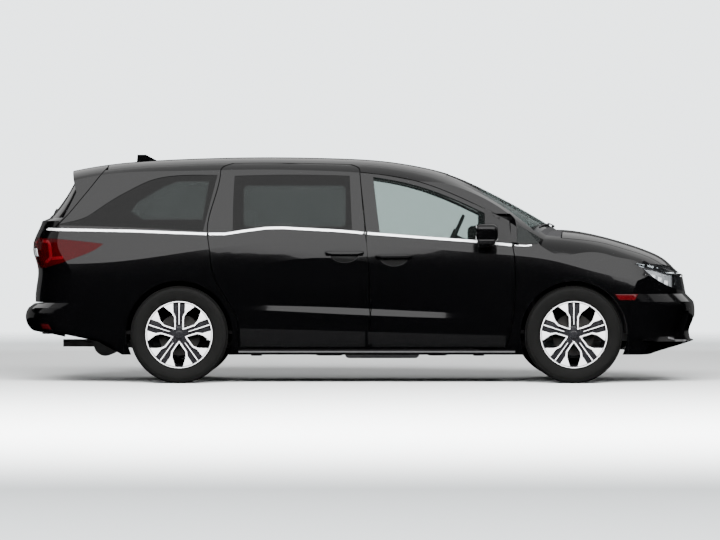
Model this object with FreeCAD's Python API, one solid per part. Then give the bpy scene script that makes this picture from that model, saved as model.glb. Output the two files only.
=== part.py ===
import FreeCAD, Part
import math
import os

V = FreeCAD.Vector

# driving dimensions, millimetres
WHEELBASE = 3000.0
FRONT_OVERHANG = 986.0
REAR_OVERHANG = 1226.0
BODY_WIDTH = 1994.0
ROOF_HEIGHT = 1745.0
TRACK = 1710.0
TYRE_DIAMETER = 741.0
TYRE_WIDTH = 235.0
RIM_DIAMETER = 508.0
ARCH_RADIUS = 406.0

# walls, gaps and clearances
DOOR_WALL = 110.0
FRAME_WALL = 48.0
FENDER_WALL = 14.0
GLASS_THICKNESS = 6.0
GLASS_SET_BACK = 3.0
SHUT_GAP = 8.0
SEAT_GAP = 0.3
OVERRUN = 60.0

# how far the body bows and rounds off from its middle plane to its side
NOSE_BOW = 150.0
NOSE_CORNER = 350.0
TAIL_BOW = 90.0
TAIL_CORNER = 260.0
GLASS_BOW = 200.0
ROOF_CROWN = 80.0
ROOF_CORNER = 600.0
HOOD_CROWN = 55.0
HOOD_CORNER = 190.0

HALF_LENGTH = (WHEELBASE + FRONT_OVERHANG + REAR_OVERHANG) / 2
HALF_WIDTH = BODY_WIDTH / 2
FRONT_AXLE_X = HALF_LENGTH - FRONT_OVERHANG
REAR_AXLE_X = REAR_OVERHANG - HALF_LENGTH
WHEEL_Y = TRACK / 2
TYRE_RADIUS = TYRE_DIAMETER / 2

# places well outside the body, for the ends of cutting solids
FAR_X = 2 * HALF_LENGTH
FAR_Y = 2 * HALF_WIDTH
FAR_Z = 2 * ROOF_HEIGHT
MIDWAY_Y = -HALF_WIDTH / 2


def station(share):
    if share > 1:
        return FRONT_AXLE_X + (share - 1) * FRONT_OVERHANG
    if share < 0:
        return REAR_AXLE_X + share * REAR_OVERHANG
    return REAR_AXLE_X + share * WHEELBASE


def height(share):
    return share * ROOF_HEIGHT


def width(share):
    return share * HALF_WIDTH


# the side form: station, then half widths and heights of sill, rocker, bulge, crease, belt, cantrail
# and top, and last the heights of the lower door line and its ledge, and how far it is set in
SIDE_SHARES = [
    (-1.08, 0.800, 0.860, 0.915, 0.905, 0.520, 0.868, 0.668, 0.650, 0.900, 0.540, 0.290, 0.270, 0),
    (-0.79, 0.850, 0.905, 0.960, 0.948, 0.521, 0.904, 0.668, 0.695, 0.905, 0.585, 0.300, 0.280, 0),
    (-0.39, 0.885, 0.940, 0.990, 0.976, 0.530, 0.926, 0.663, 0.735, 0.911, 0.640, 0.320, 0.300, 0),
    (0.00, 0.898, 0.949, 1.000, 0.985, 0.566, 0.935, 0.655, 0.757, 0.916, 0.680, 0.340, 0.322, 0),
    (0.20, 0.900, 0.950, 1.000, 0.986, 0.607, 0.935, 0.663, 0.764, 0.918, 0.690, 0.340, 0.320, 0.008),
    (0.40, 0.900, 0.950, 1.000, 0.986, 0.610, 0.936, 0.664, 0.766, 0.918, 0.692, 0.331, 0.303, 0.028),
    (0.60, 0.900, 0.950, 1.000, 0.986, 0.590, 0.936, 0.640, 0.765, 0.917, 0.690, 0.315, 0.289, 0.022),
    (0.80, 0.900, 0.950, 1.000, 0.985, 0.563, 0.938, 0.610, 0.760, 0.915, 0.684, 0.300, 0.278, 0),
    (0.95, 0.900, 0.950, 1.000, 0.984, 0.533, 0.936, 0.596, 0.750, 0.912, 0.670, 0.290, 0.270, 0),
    (1.10, 0.900, 0.950, 1.000, 0.984, 0.495, 0.920, 0.588, 0.735, 0.910, 0.650, 0.285, 0.265, 0),
    (1.35, 0.895, 0.945, 0.990, 0.972, 0.462, 0.880, 0.572, 0.700, 0.905, 0.610, 0.280, 0.260, 0),
    (1.65, 0.870, 0.920, 0.960, 0.940, 0.425, 0.825, 0.540, 0.650, 0.900, 0.560, 0.275, 0.255, 0),
    (2.09, 0.810, 0.860, 0.890, 0.868, 0.385, 0.740, 0.500, 0.580, 0.890, 0.490, 0.270, 0.250, 0),
]
SILL_SHARE = 0.124
ROCKER_SHARE = 0.172
BULGE_SHARE = 0.361
SIDE_TOP_SHARE = 1.030
WINDSHIELD_TOP_SHARE = 0.70

# the long profile on the middle plane, one list for each stretch: station and
# height, then how much of the plan rounding, glass bow and crown each point takes
PROFILE_SHARES = [
    [(-0.317, 0.109, 0, 0, 0), (1.570, 0.109, 0.3, 0, 0)],
    [(1.570, 0.109, 0.3, 0, 0), (1.703, 0.134, 0.6, 0, 0), (1.853, 0.157, 1, 0, 0),
     (1.989, 0.182, 1, 0, 0)],
    [(1.989, 0.182, 1, 0, 0), (1.966, 0.210, 1, 0, 0), (1.968, 0.240, 1, 0, 0),
     (1.988, 0.268, 1, 0, 0), (2.000, 0.305, 1, 0, 0), (1.989, 0.355, 1, 0, 0)],
    [(1.989, 0.355, 1, 0, 0), (1.929, 0.389, 1, 0, 0)],
    [(1.929, 0.389, 1, 0, 0), (1.900, 0.474, 0.97, 0, 0.05)],
    [(1.900, 0.474, 0.97, 0, 0.05), (1.829, 0.505, 0.9, 0, 0.2), (1.782, 0.531, 0.8, 0, 0.4),
     (1.734, 0.551, 0.7, 0, 0.6), (1.639, 0.577, 0.5, 0, 0.8), (1.448, 0.615, 0.25, 0, 1),
     (1.258, 0.645, 0.1, 0, 1), (1.067, 0.667, 0, 0.4, 1), (0.970, 0.674, 0, 0.9, 0.8)],
    [(0.970, 0.674, 0, 0.9, 0.8), (0.912, 0.735, 0, 1, 0.5), (0.787, 0.850, 0, 0.9, 0.5),
     (0.685, 0.925, 0, 0.6, 0.6), (0.615, 0.955, 0, 0.3, 0.9), (0.537, 0.977, 0, 0, 1),
     (0.380, 0.994, 0, 0, 1), (0.225, 0.998, 0, 0, 1), (-0.028, 0.989, 0, 0, 1),
     (-0.494, 0.963, 0, 0, 1), (-0.688, 0.939, 0.3, 0, 1)],
    [(-0.688, 0.939, 0.3, 0, 1), (-0.674, 0.900, 0.3, 0, 0.9)],
    [(-0.674, 0.900, 0.3, 0, 0.9), (-0.743, 0.815, 0.5, 0, 0.4), (-0.849, 0.722, 0.9, 0, 0)],
    [(-0.849, 0.722, 0.9, 0, 0), (-0.896, 0.709, 1, 0, 0)],
    [(-0.896, 0.709, 1, 0, 0), (-0.913, 0.677, 1, 0, 0), (-0.940, 0.636, 1, 0, 0),
     (-0.952, 0.592, 1, 0, 0), (-0.937, 0.540, 1, 0, 0), (-0.924, 0.506, 1, 0, 0),
     (-0.930, 0.424, 1, 0, 0), (-0.937, 0.350, 1, 0, 0)],
    [(-0.937, 0.350, 1, 0, 0), (-0.980, 0.328, 1, 0, 0)],
    [(-0.980, 0.328, 1, 0, 0), (-1.000, 0.284, 1, 0, 0), (-0.988, 0.253, 1, 0, 0),
     (-0.952, 0.225, 1, 0, 0)],
    [(-0.952, 0.225, 1, 0, 0), (-0.660, 0.183, 1, 0, 0)],
    [(-0.660, 0.183, 1, 0, 0), (-0.317, 0.109, 0, 0, 0)],
]
PROFILE_WIDTH_SHARES = [-1.01, -0.93, -0.82, -0.64, -0.34, 0, 0.34, 0.64, 0.82, 0.93, 1.01]


def edge_through(points):
    if len(points) == 2:
        return Part.makeLine(points[0], points[1])
    curve = Part.BSplineCurve()
    curve.interpolate(Points=points)
    return curve.toShape()


def profile_point(row, y):
    along, up, plan, bow, crown = row
    t = abs(y) / HALF_WIDTH
    x = station(along)
    z = height(up)
    front = along > 0.5
    if front:
        x -= plan * (NOSE_BOW * t**2 + NOSE_CORNER * t**6)
    else:
        x += plan * (TAIL_BOW * t**2 + TAIL_CORNER * t**6)
    x -= bow * GLASS_BOW * t**2
    if along > WINDSHIELD_TOP_SHARE:
        z -= crown * (HOOD_CROWN * t**2 + HOOD_CORNER * t**8)
    else:
        z -= crown * (ROOF_CROWN * t**2 + ROOF_CORNER * t**8)
    return V(x, y, z)


def profile_wire(y):
    edges = [edge_through([profile_point(row, y) for row in rows]) for rows in PROFILE_SHARES]
    return Part.Wire(edges)


def half_section(row):
    x = station(row[0])
    sill = V(x, width(row[1]), height(SILL_SHARE))
    rocker = V(x, width(row[2]), height(ROCKER_SHARE))
    bulge = V(x, width(row[3]), height(BULGE_SHARE))
    crease = V(x, width(row[4]), height(row[5]))
    belt = V(x, width(row[6]), height(row[7]))
    cantrail = V(x, width(row[8]), height(row[9]))
    top = V(x, width(row[10]), height(SIDE_TOP_SHARE))
    return sill, rocker, bulge, crease, belt, cantrail, top


def lower_point(row, z):
    """A point of the curve through rocker, bulge and crease, at a height."""
    knots = half_section(row)[1:4]
    y = 0
    for one in knots:
        others = [k for k in knots if k is not one]
        y += one.y * math.prod((z - k.z) / (one.z - k.z) for k in others)
    return V(knots[0].x, y, z)


def mirrored(point):
    return V(point.x, -point.y, point.z)


def section_wire(row):
    sill, rocker, bulge, crease, belt, cantrail, top = half_section(row)
    waist = lower_point(row, height(row[11])) - V(0, width(row[13]), 0)
    ledge = lower_point(row, height(row[12]))
    bulge = bulge - V(0, width(row[13]) / 2, 0)
    left = [
        edge_through([sill, rocker]),
        edge_through([rocker, lower_point(row, (rocker.z + ledge.z) / 2), ledge]),
        edge_through([ledge, waist]),
        edge_through([waist, bulge, crease]),
        edge_through([crease, belt]),
        edge_through([belt, cantrail]),
        edge_through([cantrail, top]),
    ]
    right = [edge.mirror(V(0, 0, 0), V(0, 1, 0)) for edge in left]
    lid = Part.makeLine(top, mirrored(top))
    keel = Part.makeLine(mirrored(sill), sill)
    return Part.Wire(Part.__sortEdges__(left + [lid] + right + [keel]))


def line_wire(points):
    return Part.makePolygon(points + points[:1])


def outline_wire(stretches):
    return Part.Wire([edge_through(points) for points in stretches])


def closed_stretches(points, place):
    """Lay a list of stretches out in space: place turns a pair of shares into a point."""
    return [[place(pair) for pair in stretch] for stretch in points]


def outline_box(stretches):
    xs = [station(a) for stretch in stretches for a, b in stretch]
    zs = [height(b) for stretch in stretches for a, b in stretch]
    return min(xs), max(xs), min(zs), max(zs)


def skin_y(z):
    """The half width of the middle of the body at a height."""
    sill, rocker, bulge, crease, belt, cantrail, top = half_section(SIDE_SHARES[5])
    points = [sill, rocker, bulge, crease, belt, cantrail, top]
    for low, high in zip(points, points[1:]):
        if z <= high.z:
            share = max(0, (z - low.z) / (high.z - low.z))
            return low.y + share * (high.y - low.y)
    return top.y


def side_prism(stretches, grow=0.0, draft=0.0, near=None, far=None):
    """A plug through the right side: the outline on the skin, drafted inwards."""
    near = -HALF_WIDTH - OVERRUN if near is None else near
    far = -OVERRUN if far is None else far
    x0, x1, z0, z1 = outline_box(stretches)
    half_x = (x1 - x0) / 2
    half_z = (z1 - z0) / 2
    middle_x = (x0 + x1) / 2
    middle_z = (z0 + z1) / 2

    def wire(y):
        def place(pair):
            x = station(pair[0])
            z = height(pair[1])
            amount = grow - draft * (y + skin_y(z))
            return V(x + amount * (x - middle_x) / half_x, y, z + amount * (z - middle_z) / half_z)
        return outline_wire(closed_stretches(stretches, place))

    return Part.makeLoft([wire(near), wire(far)], True, True)


def box(x0, x1, y0, y1, z0, z1):
    return Part.makeBox(x1 - x0, y1 - y0, z1 - z0, V(x0, y0, z0))


def rod(start, end, radius):
    way = end - start
    return Part.makeCylinder(radius, way.Length, start, way)


def across(shape):
    return shape.mirror(V(0, 0, 0), V(0, 1, 0))


def both(shape):
    return Part.makeCompound([shape, across(shape)])


def moved(shape, x=0.0, y=0.0, z=0.0):
    copy = shape.copy()
    copy.translate(V(x, y, z))
    return copy


def fused(first, *rest):
    return first.fuse(list(rest)).removeSplitter()


def main_solid(shape):
    return max(shape.Solids, key=lambda solid: solid.Volume)


def save(name, shape):
    shape.exportStep("parts/" + name + ".step")


os.makedirs("parts", exist_ok=True)

# the outer form: the side form trimmed by the long profile
side_form = Part.makeLoft([section_wire(row) for row in SIDE_SHARES], True, False)
long_form = Part.makeLoft([profile_wire(width(s)) for s in PROFILE_WIDTH_SHARES], True, False)
body = side_form.common(long_form)
half_space = box(-FAR_X, FAR_X, -FAR_Y, 0, -HALF_WIDTH, FAR_Z)
half_body = main_solid(body.common(half_space))

# the cabin: the air inside the walls
FLOOR_TOP = 400.0
FLOOR_SHEET = 30.0
CABIN_LEDGE = 50.0
CABIN_ROWS = [0, 1, 2, 3, 4, 6, 7, 8, 9]


def cabin_section(row):
    sill, rocker, bulge, crease, belt, cantrail, top = half_section(row)
    x = sill.x
    half = [
        V(x, rocker.y - DOOR_WALL, FLOOR_TOP),
        V(x, bulge.y - DOOR_WALL, bulge.z),
        V(x, belt.y - DOOR_WALL, belt.z - 2 * CABIN_LEDGE),
        V(x, belt.y - DOOR_WALL, belt.z - CABIN_LEDGE),
        V(x, belt.y + (CABIN_LEDGE / 2) - FRAME_WALL, belt.z - CABIN_LEDGE),
        V(x, cantrail.y - FRAME_WALL, cantrail.z),
        V(x, top.y - FRAME_WALL, top.z),
    ]
    return line_wire(half + [mirrored(p) for p in reversed(half)])


# rows of the long profile that bound the cabin, with the wall ahead of or behind each
CABIN_PROFILE = [
    ((0.912, 0.735, 0, 1, 0.5), -0.6, -0.9),
    ((0.787, 0.850, 0, 0.9, 0.5), -0.6, -0.9),
    ((0.685, 0.925, 0, 0.6, 0.6), -0.4, -1),
    ((0.537, 0.977, 0, 0, 1), 0, -1),
    ((0.380, 0.994, 0, 0, 1), 0, -1),
    ((0.225, 0.998, 0, 0, 1), 0, -1),
    ((-0.028, 0.989, 0, 0, 1), 0, -1),
    ((-0.494, 0.963, 0, 0, 1), 0, -1),
    ((-0.650, 0.945, 0.3, 0, 1), 0, -1.2),
    ((-0.743, 0.815, 0.5, 0, 0.4), 1.1, -0.4),
    ((-0.849, 0.722, 0.9, 0, 0), 1.3, -0.2),
    ((-0.924, 0.506, 1, 0, 0), 1.6, 0),
    ((-0.930, 0.380, 1, 0, 0), 1.6, 0),
]
FIREWALL_X = 1330.0
FIREWALL_TOP = 1085.0


def cabin_profile_wire(y):
    points = [profile_point(row, y) + V(dx * FRAME_WALL, 0, dz * FRAME_WALL) for row, dx, dz in CABIN_PROFILE]
    points.append(V(points[-1].x, y, FLOOR_TOP))
    points.append(V(FIREWALL_X, y, FLOOR_TOP))
    t = abs(y) / HALF_WIDTH
    points.append(V(min(FIREWALL_X, points[0].x + FRAME_WALL), y, FIREWALL_TOP - FRAME_WALL * t**2))
    return line_wire(points)


cabin_side = Part.makeLoft([cabin_section(SIDE_SHARES[i]) for i in CABIN_ROWS], True, True)
CABIN_WIDTH_SHARES = (-0.93, -0.64, -0.34, 0, 0.34, 0.64, 0.93)
cabin_long = Part.makeLoft([cabin_profile_wire(width(share)) for share in CABIN_WIDTH_SHARES], True, True)
cabin = cabin_side.common(cabin_long)

# the engine bay and the hollow nose: the outer form set in by the fender's wall
BAY_HALF_WIDTH = 520.0
HOOD_WALL = 36.0
NOSE_WALL = 60.0
FENDER_REAR_SHARE = 0.830
FENDER_REAR = station(FENDER_REAR_SHARE)


WIDTH_COLUMNS = (1, 2, 3, 4, 6, 8, 10)


def thinner(row, wall):
    share = wall / HALF_WIDTH
    return tuple(v - share if i in WIDTH_COLUMNS else v for i, v in enumerate(row))


bay_side = Part.makeLoft([section_wire(thinner(row, FENDER_WALL)) for row in SIDE_SHARES[6:]], True, False)
bay_form = bay_side.common(moved(long_form, x=-NOSE_WALL, z=-FENDER_WALL))

# wheel arches: right side cylinders, open to the bay in front, housed at the rear
ARCH_Z = 375.0
REAR_HOUSE_Y = 715.0
HOUSE_WALL = 10.0
outside_y = -HALF_WIDTH - OVERRUN
front_arch = rod(V(FRONT_AXLE_X, outside_y, ARCH_Z), V(FRONT_AXLE_X, -BAY_HALF_WIDTH, ARCH_Z), ARCH_RADIUS)
rear_arch = rod(V(REAR_AXLE_X, outside_y, ARCH_Z), V(REAR_AXLE_X, -REAR_HOUSE_Y, ARCH_Z), ARCH_RADIUS)
house_outer = rod(V(REAR_AXLE_X, -HALF_WIDTH + DOOR_WALL / 2, ARCH_Z),
                  V(REAR_AXLE_X, HOUSE_WALL - REAR_HOUSE_Y, ARCH_Z), ARCH_RADIUS + HOUSE_WALL)
house = house_outer.cut(rear_arch).common(cabin)

# the open space under the floor
UNDER_HALF_WIDTH = 780.0
under = box(-FAR_X, FAR_X, -UNDER_HALF_WIDTH, UNDER_HALF_WIDTH, 0, FLOOR_TOP - FLOOR_SHEET)

# outlines in the side view, each stretch a list of station and height shares
FRONT_DOOR_SHARES = [
    [(0.481, 0.154), (0.827, 0.154)],
    [(0.827, 0.154), (0.842, 0.275), (0.849, 0.401), (0.848, 0.562), (0.843, 0.648), (0.839, 0.710)],
    [(0.839, 0.710), (0.775, 0.762), (0.712, 0.812), (0.649, 0.856), (0.585, 0.889),
     (0.522, 0.908), (0.459, 0.920)],
    [(0.459, 0.920), (0.467, 0.780), (0.474, 0.655), (0.480, 0.539), (0.481, 0.154)],
]
SLIDING_DOOR_SHARES = [
    [(0.150, 0.154), (0.478, 0.154)],
    [(0.478, 0.154), (0.477, 0.539), (0.471, 0.655), (0.464, 0.780), (0.457, 0.917)],
    [(0.457, 0.917), (0.454, 0.944), (0.441, 0.957), (0.279, 0.965), (0.122, 0.958),
     (0.109, 0.945), (0.104, 0.917)],
    [(0.104, 0.917), (0.089, 0.802), (0.072, 0.659), (0.078, 0.585), (0.086, 0.493),
     (0.110, 0.401), (0.150, 0.287)],
    [(0.150, 0.287), (0.150, 0.154)],
]
FRONT_WINDOW_SHARES = [
    [(0.509, 0.655), (0.670, 0.636), (0.830, 0.612)],
    [(0.830, 0.612), (0.834, 0.690)],
    [(0.834, 0.690), (0.775, 0.742), (0.712, 0.793), (0.649, 0.837), (0.585, 0.871),
     (0.522, 0.893), (0.492, 0.901)],
    [(0.492, 0.901), (0.500, 0.780), (0.509, 0.655)],
]
SLIDING_WINDOW_SHARES = [
    [(0.136, 0.662), (0.219, 0.684), (0.300, 0.684), (0.438, 0.668)],
    [(0.438, 0.668), (0.432, 0.906)],
    [(0.432, 0.906), (0.280, 0.911), (0.139, 0.906)],
    [(0.139, 0.906), (0.136, 0.780), (0.136, 0.662)],
]
QUARTER_PANE_SHARES = [
    [(-0.772, 0.690), (-0.350, 0.682), (0.060, 0.664)],
    [(0.060, 0.664), (0.076, 0.780), (0.095, 0.909)],
    [(0.095, 0.909), (-0.010, 0.906), (-0.190, 0.883), (-0.293, 0.849), (-0.397, 0.809), (-0.499, 0.762),
     (-0.590, 0.722), (-0.680, 0.704), (-0.772, 0.690)],
]
QUARTER_HOLE_SHARES = [
    [(-0.330, 0.690), (0.040, 0.675)],
    [(0.040, 0.675), (0.060, 0.880)],
    [(0.060, 0.880), (-0.060, 0.880), (-0.190, 0.850), (-0.330, 0.780), (-0.410, 0.728), (-0.330, 0.690)],
]
FRONT_PANE_SHARES = [
    [(0.856, 0.612), (0.905, 0.608)],
    [(0.905, 0.608), (0.916, 0.628), (0.905, 0.645)],
    [(0.905, 0.645), (0.858, 0.692)],
    [(0.858, 0.692), (0.856, 0.612)],
]
TAILGATE_LINE_SHARES = [(-0.461, 0.947), (-0.567, 0.850), (-0.692, 0.740), (-0.776, 0.682)]
TAIL_LAMP_SHARES = [
    [(-1.030, 0.507), (-0.810, 0.510), (-0.655, 0.544), (-0.500, 0.592), (-0.470, 0.608)],
    [(-0.470, 0.608), (-0.760, 0.629), (-1.030, 0.640)],
    [(-1.030, 0.640), (-1.030, 0.507)],
]
HEADLAMP_SHARES = [
    [(2.050, 0.412), (1.800, 0.412), (1.720, 0.430), (1.618, 0.462), (1.560, 0.490), (1.470, 0.520)],
    [(1.470, 0.520), (1.630, 0.520), (1.780, 0.504), (1.900, 0.480), (2.050, 0.470)],
    [(2.050, 0.470), (2.050, 0.412)],
]

ROOF_EDGE_SHARE = 0.66
ROOF_SIDE = width(ROOF_EDGE_SHARE)

# levels that part the upper panels from the lower ones, well clear of their edges
MIDDLE_SHARE = 0.50
BELT_ZONE_SHARE = 0.70
ROOF_ZONE_SHARE = 0.80
MIDDLE_Z = height(MIDDLE_SHARE)
BELT_ZONE_Z = height(BELT_ZONE_SHARE)
ROOF_ZONE_Z = height(ROOF_ZONE_SHARE)

# how far a plug-shaped door narrows from its skin inwards
DOOR_DRAFT = 0.23
PANE_GAP = 0.3

front_door_plug = side_prism(FRONT_DOOR_SHARES, draft=DOOR_DRAFT, far=MIDWAY_Y)
front_door_hole = side_prism(FRONT_DOOR_SHARES, grow=SHUT_GAP, draft=DOOR_DRAFT, far=MIDWAY_Y)
sliding_plug = side_prism(SLIDING_DOOR_SHARES, draft=DOOR_DRAFT / 2, far=MIDWAY_Y)
sliding_hole = side_prism(SLIDING_DOOR_SHARES, grow=SHUT_GAP - 1, draft=DOOR_DRAFT / 2, far=MIDWAY_Y)
ROCKER_WIDTH_SHARE = 0.950
DOOR_INNER_Y = width(ROCKER_WIDTH_SHARE) - DOOR_WALL
sill_step = box(-FAR_X, FAR_X, SEAT_GAP - DOOR_INNER_Y, 0, 0, FLOOR_TOP)
door_step = box(-FAR_X, FAR_X, -DOOR_INNER_Y, 0, 0, FLOOR_TOP + SHUT_GAP)
front_door_hole = front_door_hole.cut(sill_step)
sliding_hole = sliding_hole.cut(sill_step)
front_door_plug = front_door_plug.cut(door_step)
sliding_plug = sliding_plug.cut(door_step)
roof_core = box(-FAR_X, FAR_X, -ROOF_SIDE - SHUT_GAP, 0, ROOF_ZONE_Z, FAR_Z)
front_door_plug = front_door_plug.cut(roof_core)
sliding_plug = sliding_plug.cut(roof_core)
front_window = side_prism(FRONT_WINDOW_SHARES, far=MIDWAY_Y)
sliding_window = side_prism(SLIDING_WINDOW_SHARES, far=MIDWAY_Y)
quarter_hole = side_prism(QUARTER_HOLE_SHARES, far=MIDWAY_Y)

glass_layer = moved(half_body, y=GLASS_SET_BACK).cut(moved(half_body, y=GLASS_SET_BACK + GLASS_THICKNESS))
flush_layer = half_body.cut(moved(half_body, y=GLASS_THICKNESS))
rebate_layer = half_body.cut(moved(half_body, y=GLASS_THICKNESS + PANE_GAP))


def pane(layer, stretches):
    return main_solid(layer.common(side_prism(stretches, grow=-PANE_GAP, far=MIDWAY_Y)))


wall = half_body.cut(cabin)
front_door = main_solid(wall.common(front_door_plug)).cut(front_window)
front_door_glass = pane(glass_layer, FRONT_WINDOW_SHARES)
save("front_door_right", main_solid(front_door))
save("front_door_glass_right", front_door_glass)
sliding_door = main_solid(wall.common(sliding_plug)).cut(sliding_window)
save("sliding_door_right", main_solid(sliding_door))
sliding_glass = pane(glass_layer, SLIDING_WINDOW_SHARES)
quarter_glass = pane(flush_layer, QUARTER_PANE_SHARES)
triangle_glass = pane(flush_layer, FRONT_PANE_SHARES)

# shut lines between the fixed panels
ROOF_REAR_SHARE = -0.461
ROOF_REAR = station(ROOF_REAR_SHARE)
HEADER_X_SHARE = 0.69
HEADER_X = station(HEADER_X_SHARE)
PANEL_GAP = 0.8
TAILGATE_HALF_WIDTH_SHARE = 0.69
TAILGATE_HALF_WIDTH = width(TAILGATE_HALF_WIDTH_SHARE)
TAILGATE_FOOT_SHARE = 0.352
TAILGATE_FOOT = height(TAILGATE_FOOT_SHARE)
LAMP_DEPTH = 55.0
TAILGATE_DEPTH_SHARE = -0.80
TAIL_LAMP_REACH_SHARE = 0.30
HEADLAMP_REACH_SHARE = 0.52
BUMPER_FRONT_SHARE = -0.345
BUMPER_FRONT = station(BUMPER_FRONT_SHARE)
REAR_BUMPER_TOP_SHARE = 0.345
REAR_BUMPER_TOP = height(REAR_BUMPER_TOP_SHARE)


def side_polygon(shares, near, far):
    points = [V(station(a), near, height(b)) for a, b in shares]
    return Part.Face(line_wire(points)).extrude(V(0, far - near, 0))


def rear_region(grow):
    """Everything behind the tailgate's shut line, as a solid across the whole body."""
    line = [(station(a) + grow, height(b)) for a, b in TAILGATE_LINE_SHARES]
    foot = height(TAILGATE_LINE_SHARES[-1][1]) - grow
    points = [V(x, -FAR_Y, z) for x, z in line]
    points[-1] = V(line[-1][0], -FAR_Y, foot)
    upper = points + [V(-FAR_X, -FAR_Y, foot), V(-FAR_X, -FAR_Y, FAR_Z),
                      V(line[0][0], -FAR_Y, FAR_Z)]
    top = Part.Face(line_wire(upper)).extrude(V(0, 2 * FAR_Y, 0))
    half = TAILGATE_HALF_WIDTH + grow
    lower = box(-FAR_X, station(TAILGATE_DEPTH_SHARE), -half, half, TAILGATE_FOOT - grow, foot + OVERRUN)
    return top.fuse(lower)


tail_lamp_plug = side_prism(TAIL_LAMP_SHARES, far=-width(TAIL_LAMP_REACH_SHARE))
tail_lamp_hole = side_prism(TAIL_LAMP_SHARES, grow=PANEL_GAP, far=-width(TAIL_LAMP_REACH_SHARE))
headlamp_plug = side_prism(HEADLAMP_SHARES, far=-width(HEADLAMP_REACH_SHARE))
headlamp_hole = side_prism(HEADLAMP_SHARES, grow=PANEL_GAP, far=-width(HEADLAMP_REACH_SHARE))

tailgate_cut = rear_region(SHUT_GAP)
tailgate_region = rear_region(0)
quarter_glass = main_solid(quarter_glass.cut(tailgate_cut))
rear_bumper_region = box(-FAR_X, BUMPER_FRONT, -FAR_Y, FAR_Y, 0, REAR_BUMPER_TOP)
rear_bumper_cut = box(-FAR_X, BUMPER_FRONT + PANEL_GAP, -FAR_Y, FAR_Y, 0,
                      REAR_BUMPER_TOP + PANEL_GAP)

shell = wall.cut(under)
side_zone = box(-FAR_X, FAR_X, -FAR_Y, -UNDER_HALF_WIDTH, 0, BELT_ZONE_Z)
upper_zone = box(-FAR_X, FAR_X, -FAR_Y, -ROOF_SIDE - PANEL_GAP, MIDDLE_Z, FAR_Z)
side_region = side_zone.fuse(upper_zone)
FENDER_TOP_SHARE = 0.597
FENDER_TOP = height(FENDER_TOP_SHARE)
PILLAR_FOOT_SHARE = 0.935
PILLAR_FOOT = station(PILLAR_FOOT_SHARE)
header_zone = box(HEADER_X + PANEL_GAP, PILLAR_FOOT, -FAR_Y, MIDWAY_Y, MIDDLE_Z, FAR_Z)
side_region = side_region.fuse(header_zone)
front_cut = box(FENDER_REAR, FAR_X, -FAR_Y, 0, 0, FENDER_TOP)
front_cut = front_cut.fuse(box(PILLAR_FOOT, FAR_X, -FAR_Y, 0, 0, FAR_Z))

HINGE_X_SHARE = 0.809
HINGE_X = station(HINGE_X_SHARE)
HINGE_Y_SHARE = 0.970
HINGE_Y = width(HINGE_Y_SHARE)
HINGE_SWEEP = 160.0
SILL_TOP_SHARE = 0.149
SILL_TOP = height(SILL_TOP_SHARE)
HINGE_TOP_SHARE = 0.74
hinge_relief = rod(V(HINGE_X, -HINGE_Y, SILL_TOP), V(HINGE_X, -HINGE_Y, height(HINGE_TOP_SHARE)), HINGE_SWEEP)

WINDSHIELD_TOP_Y_SHARE = 0.640
WINDSHIELD_FOOT_Y_SHARE = 0.855
WINDSHIELD_FOOT_SHARE = 0.958
TOP_BOW_SHARE = 0.45
FOOT_BOW_SHARE = 0.95


def windshield_prism(grow):
    top_y = width(WINDSHIELD_TOP_Y_SHARE) + grow
    foot_y = width(WINDSHIELD_FOOT_Y_SHARE) + grow
    top_x = HEADER_X - grow
    foot_x = station(WINDSHIELD_FOOT_SHARE) + grow

    def bow(x, y, amount):
        return V(x - amount * GLASS_BOW * (y / HALF_WIDTH)**2, y, 0)
    top = [bow(top_x, y, TOP_BOW_SHARE) for y in (-top_y, -top_y / 2, 0, top_y / 2, top_y)]
    foot = [bow(foot_x, y, FOOT_BOW_SHARE) for y in (foot_y, foot_y / 2, 0, -foot_y / 2, -foot_y)]
    wire = Part.Wire([edge_through(top), edge_through([top[-1], foot[0]]), edge_through(foot),
                      edge_through([foot[-1], top[0]])])
    return Part.Face(wire).extrude(V(0, 0, FAR_Z))


windshield_hole = windshield_prism(PANEL_GAP)
windshield_plug = windshield_prism(0)
triangle_glass = main_solid(triangle_glass.cut(windshield_hole))
side_glass = Part.makeCompound([sliding_glass, quarter_glass, triangle_glass])
save("side_glass_right", side_glass)
scuttle_zone = box(HEADER_X - 6 * OVERRUN, FRONT_AXLE_X + OVERRUN, outside_y, -outside_y, MIDDLE_Z, FAR_Z)
scuttle = body.common(scuttle_zone)
windshield = windshield_plug.common(moved(scuttle, z=-GLASS_SET_BACK))
windshield = main_solid(windshield.cut(moved(scuttle, z=-GLASS_SET_BACK - GLASS_THICKNESS)))
save("windshield", windshield)

pillars = shell.common(side_region)
for tool in (front_door_hole, sliding_hole, tailgate_cut, rear_bumper_cut, tail_lamp_hole, rear_arch,
             front_arch, hinge_relief, windshield_hole, quarter_hole):
    pillars = pillars.cut(tool)
REBATE_GAP = 1.6
REBATE_LIFT_SHARE = 0.0015
quarter_top = [(a, b + REBATE_LIFT_SHARE) for a, b in QUARTER_PANE_SHARES[2]]
quarter_top[0], quarter_top[-1] = QUARTER_PANE_SHARES[2][0], QUARTER_PANE_SHARES[2][-1]
for stretches in (QUARTER_PANE_SHARES[:2] + [quarter_top], FRONT_PANE_SHARES):
    pillars = pillars.cut(rebate_layer.common(side_prism(stretches, grow=REBATE_GAP, far=MIDWAY_Y)))
COWL_FOOT_SHARE = 0.600
COWL_FOOT = height(COWL_FOOT_SHARE)
COWL_REAR_SHARE = 0.86
COWL_FRONT_SHARE = 1.0
COWL_REAR = station(COWL_REAR_SHARE)
COWL_FRONT = station(COWL_FRONT_SHARE)
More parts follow.
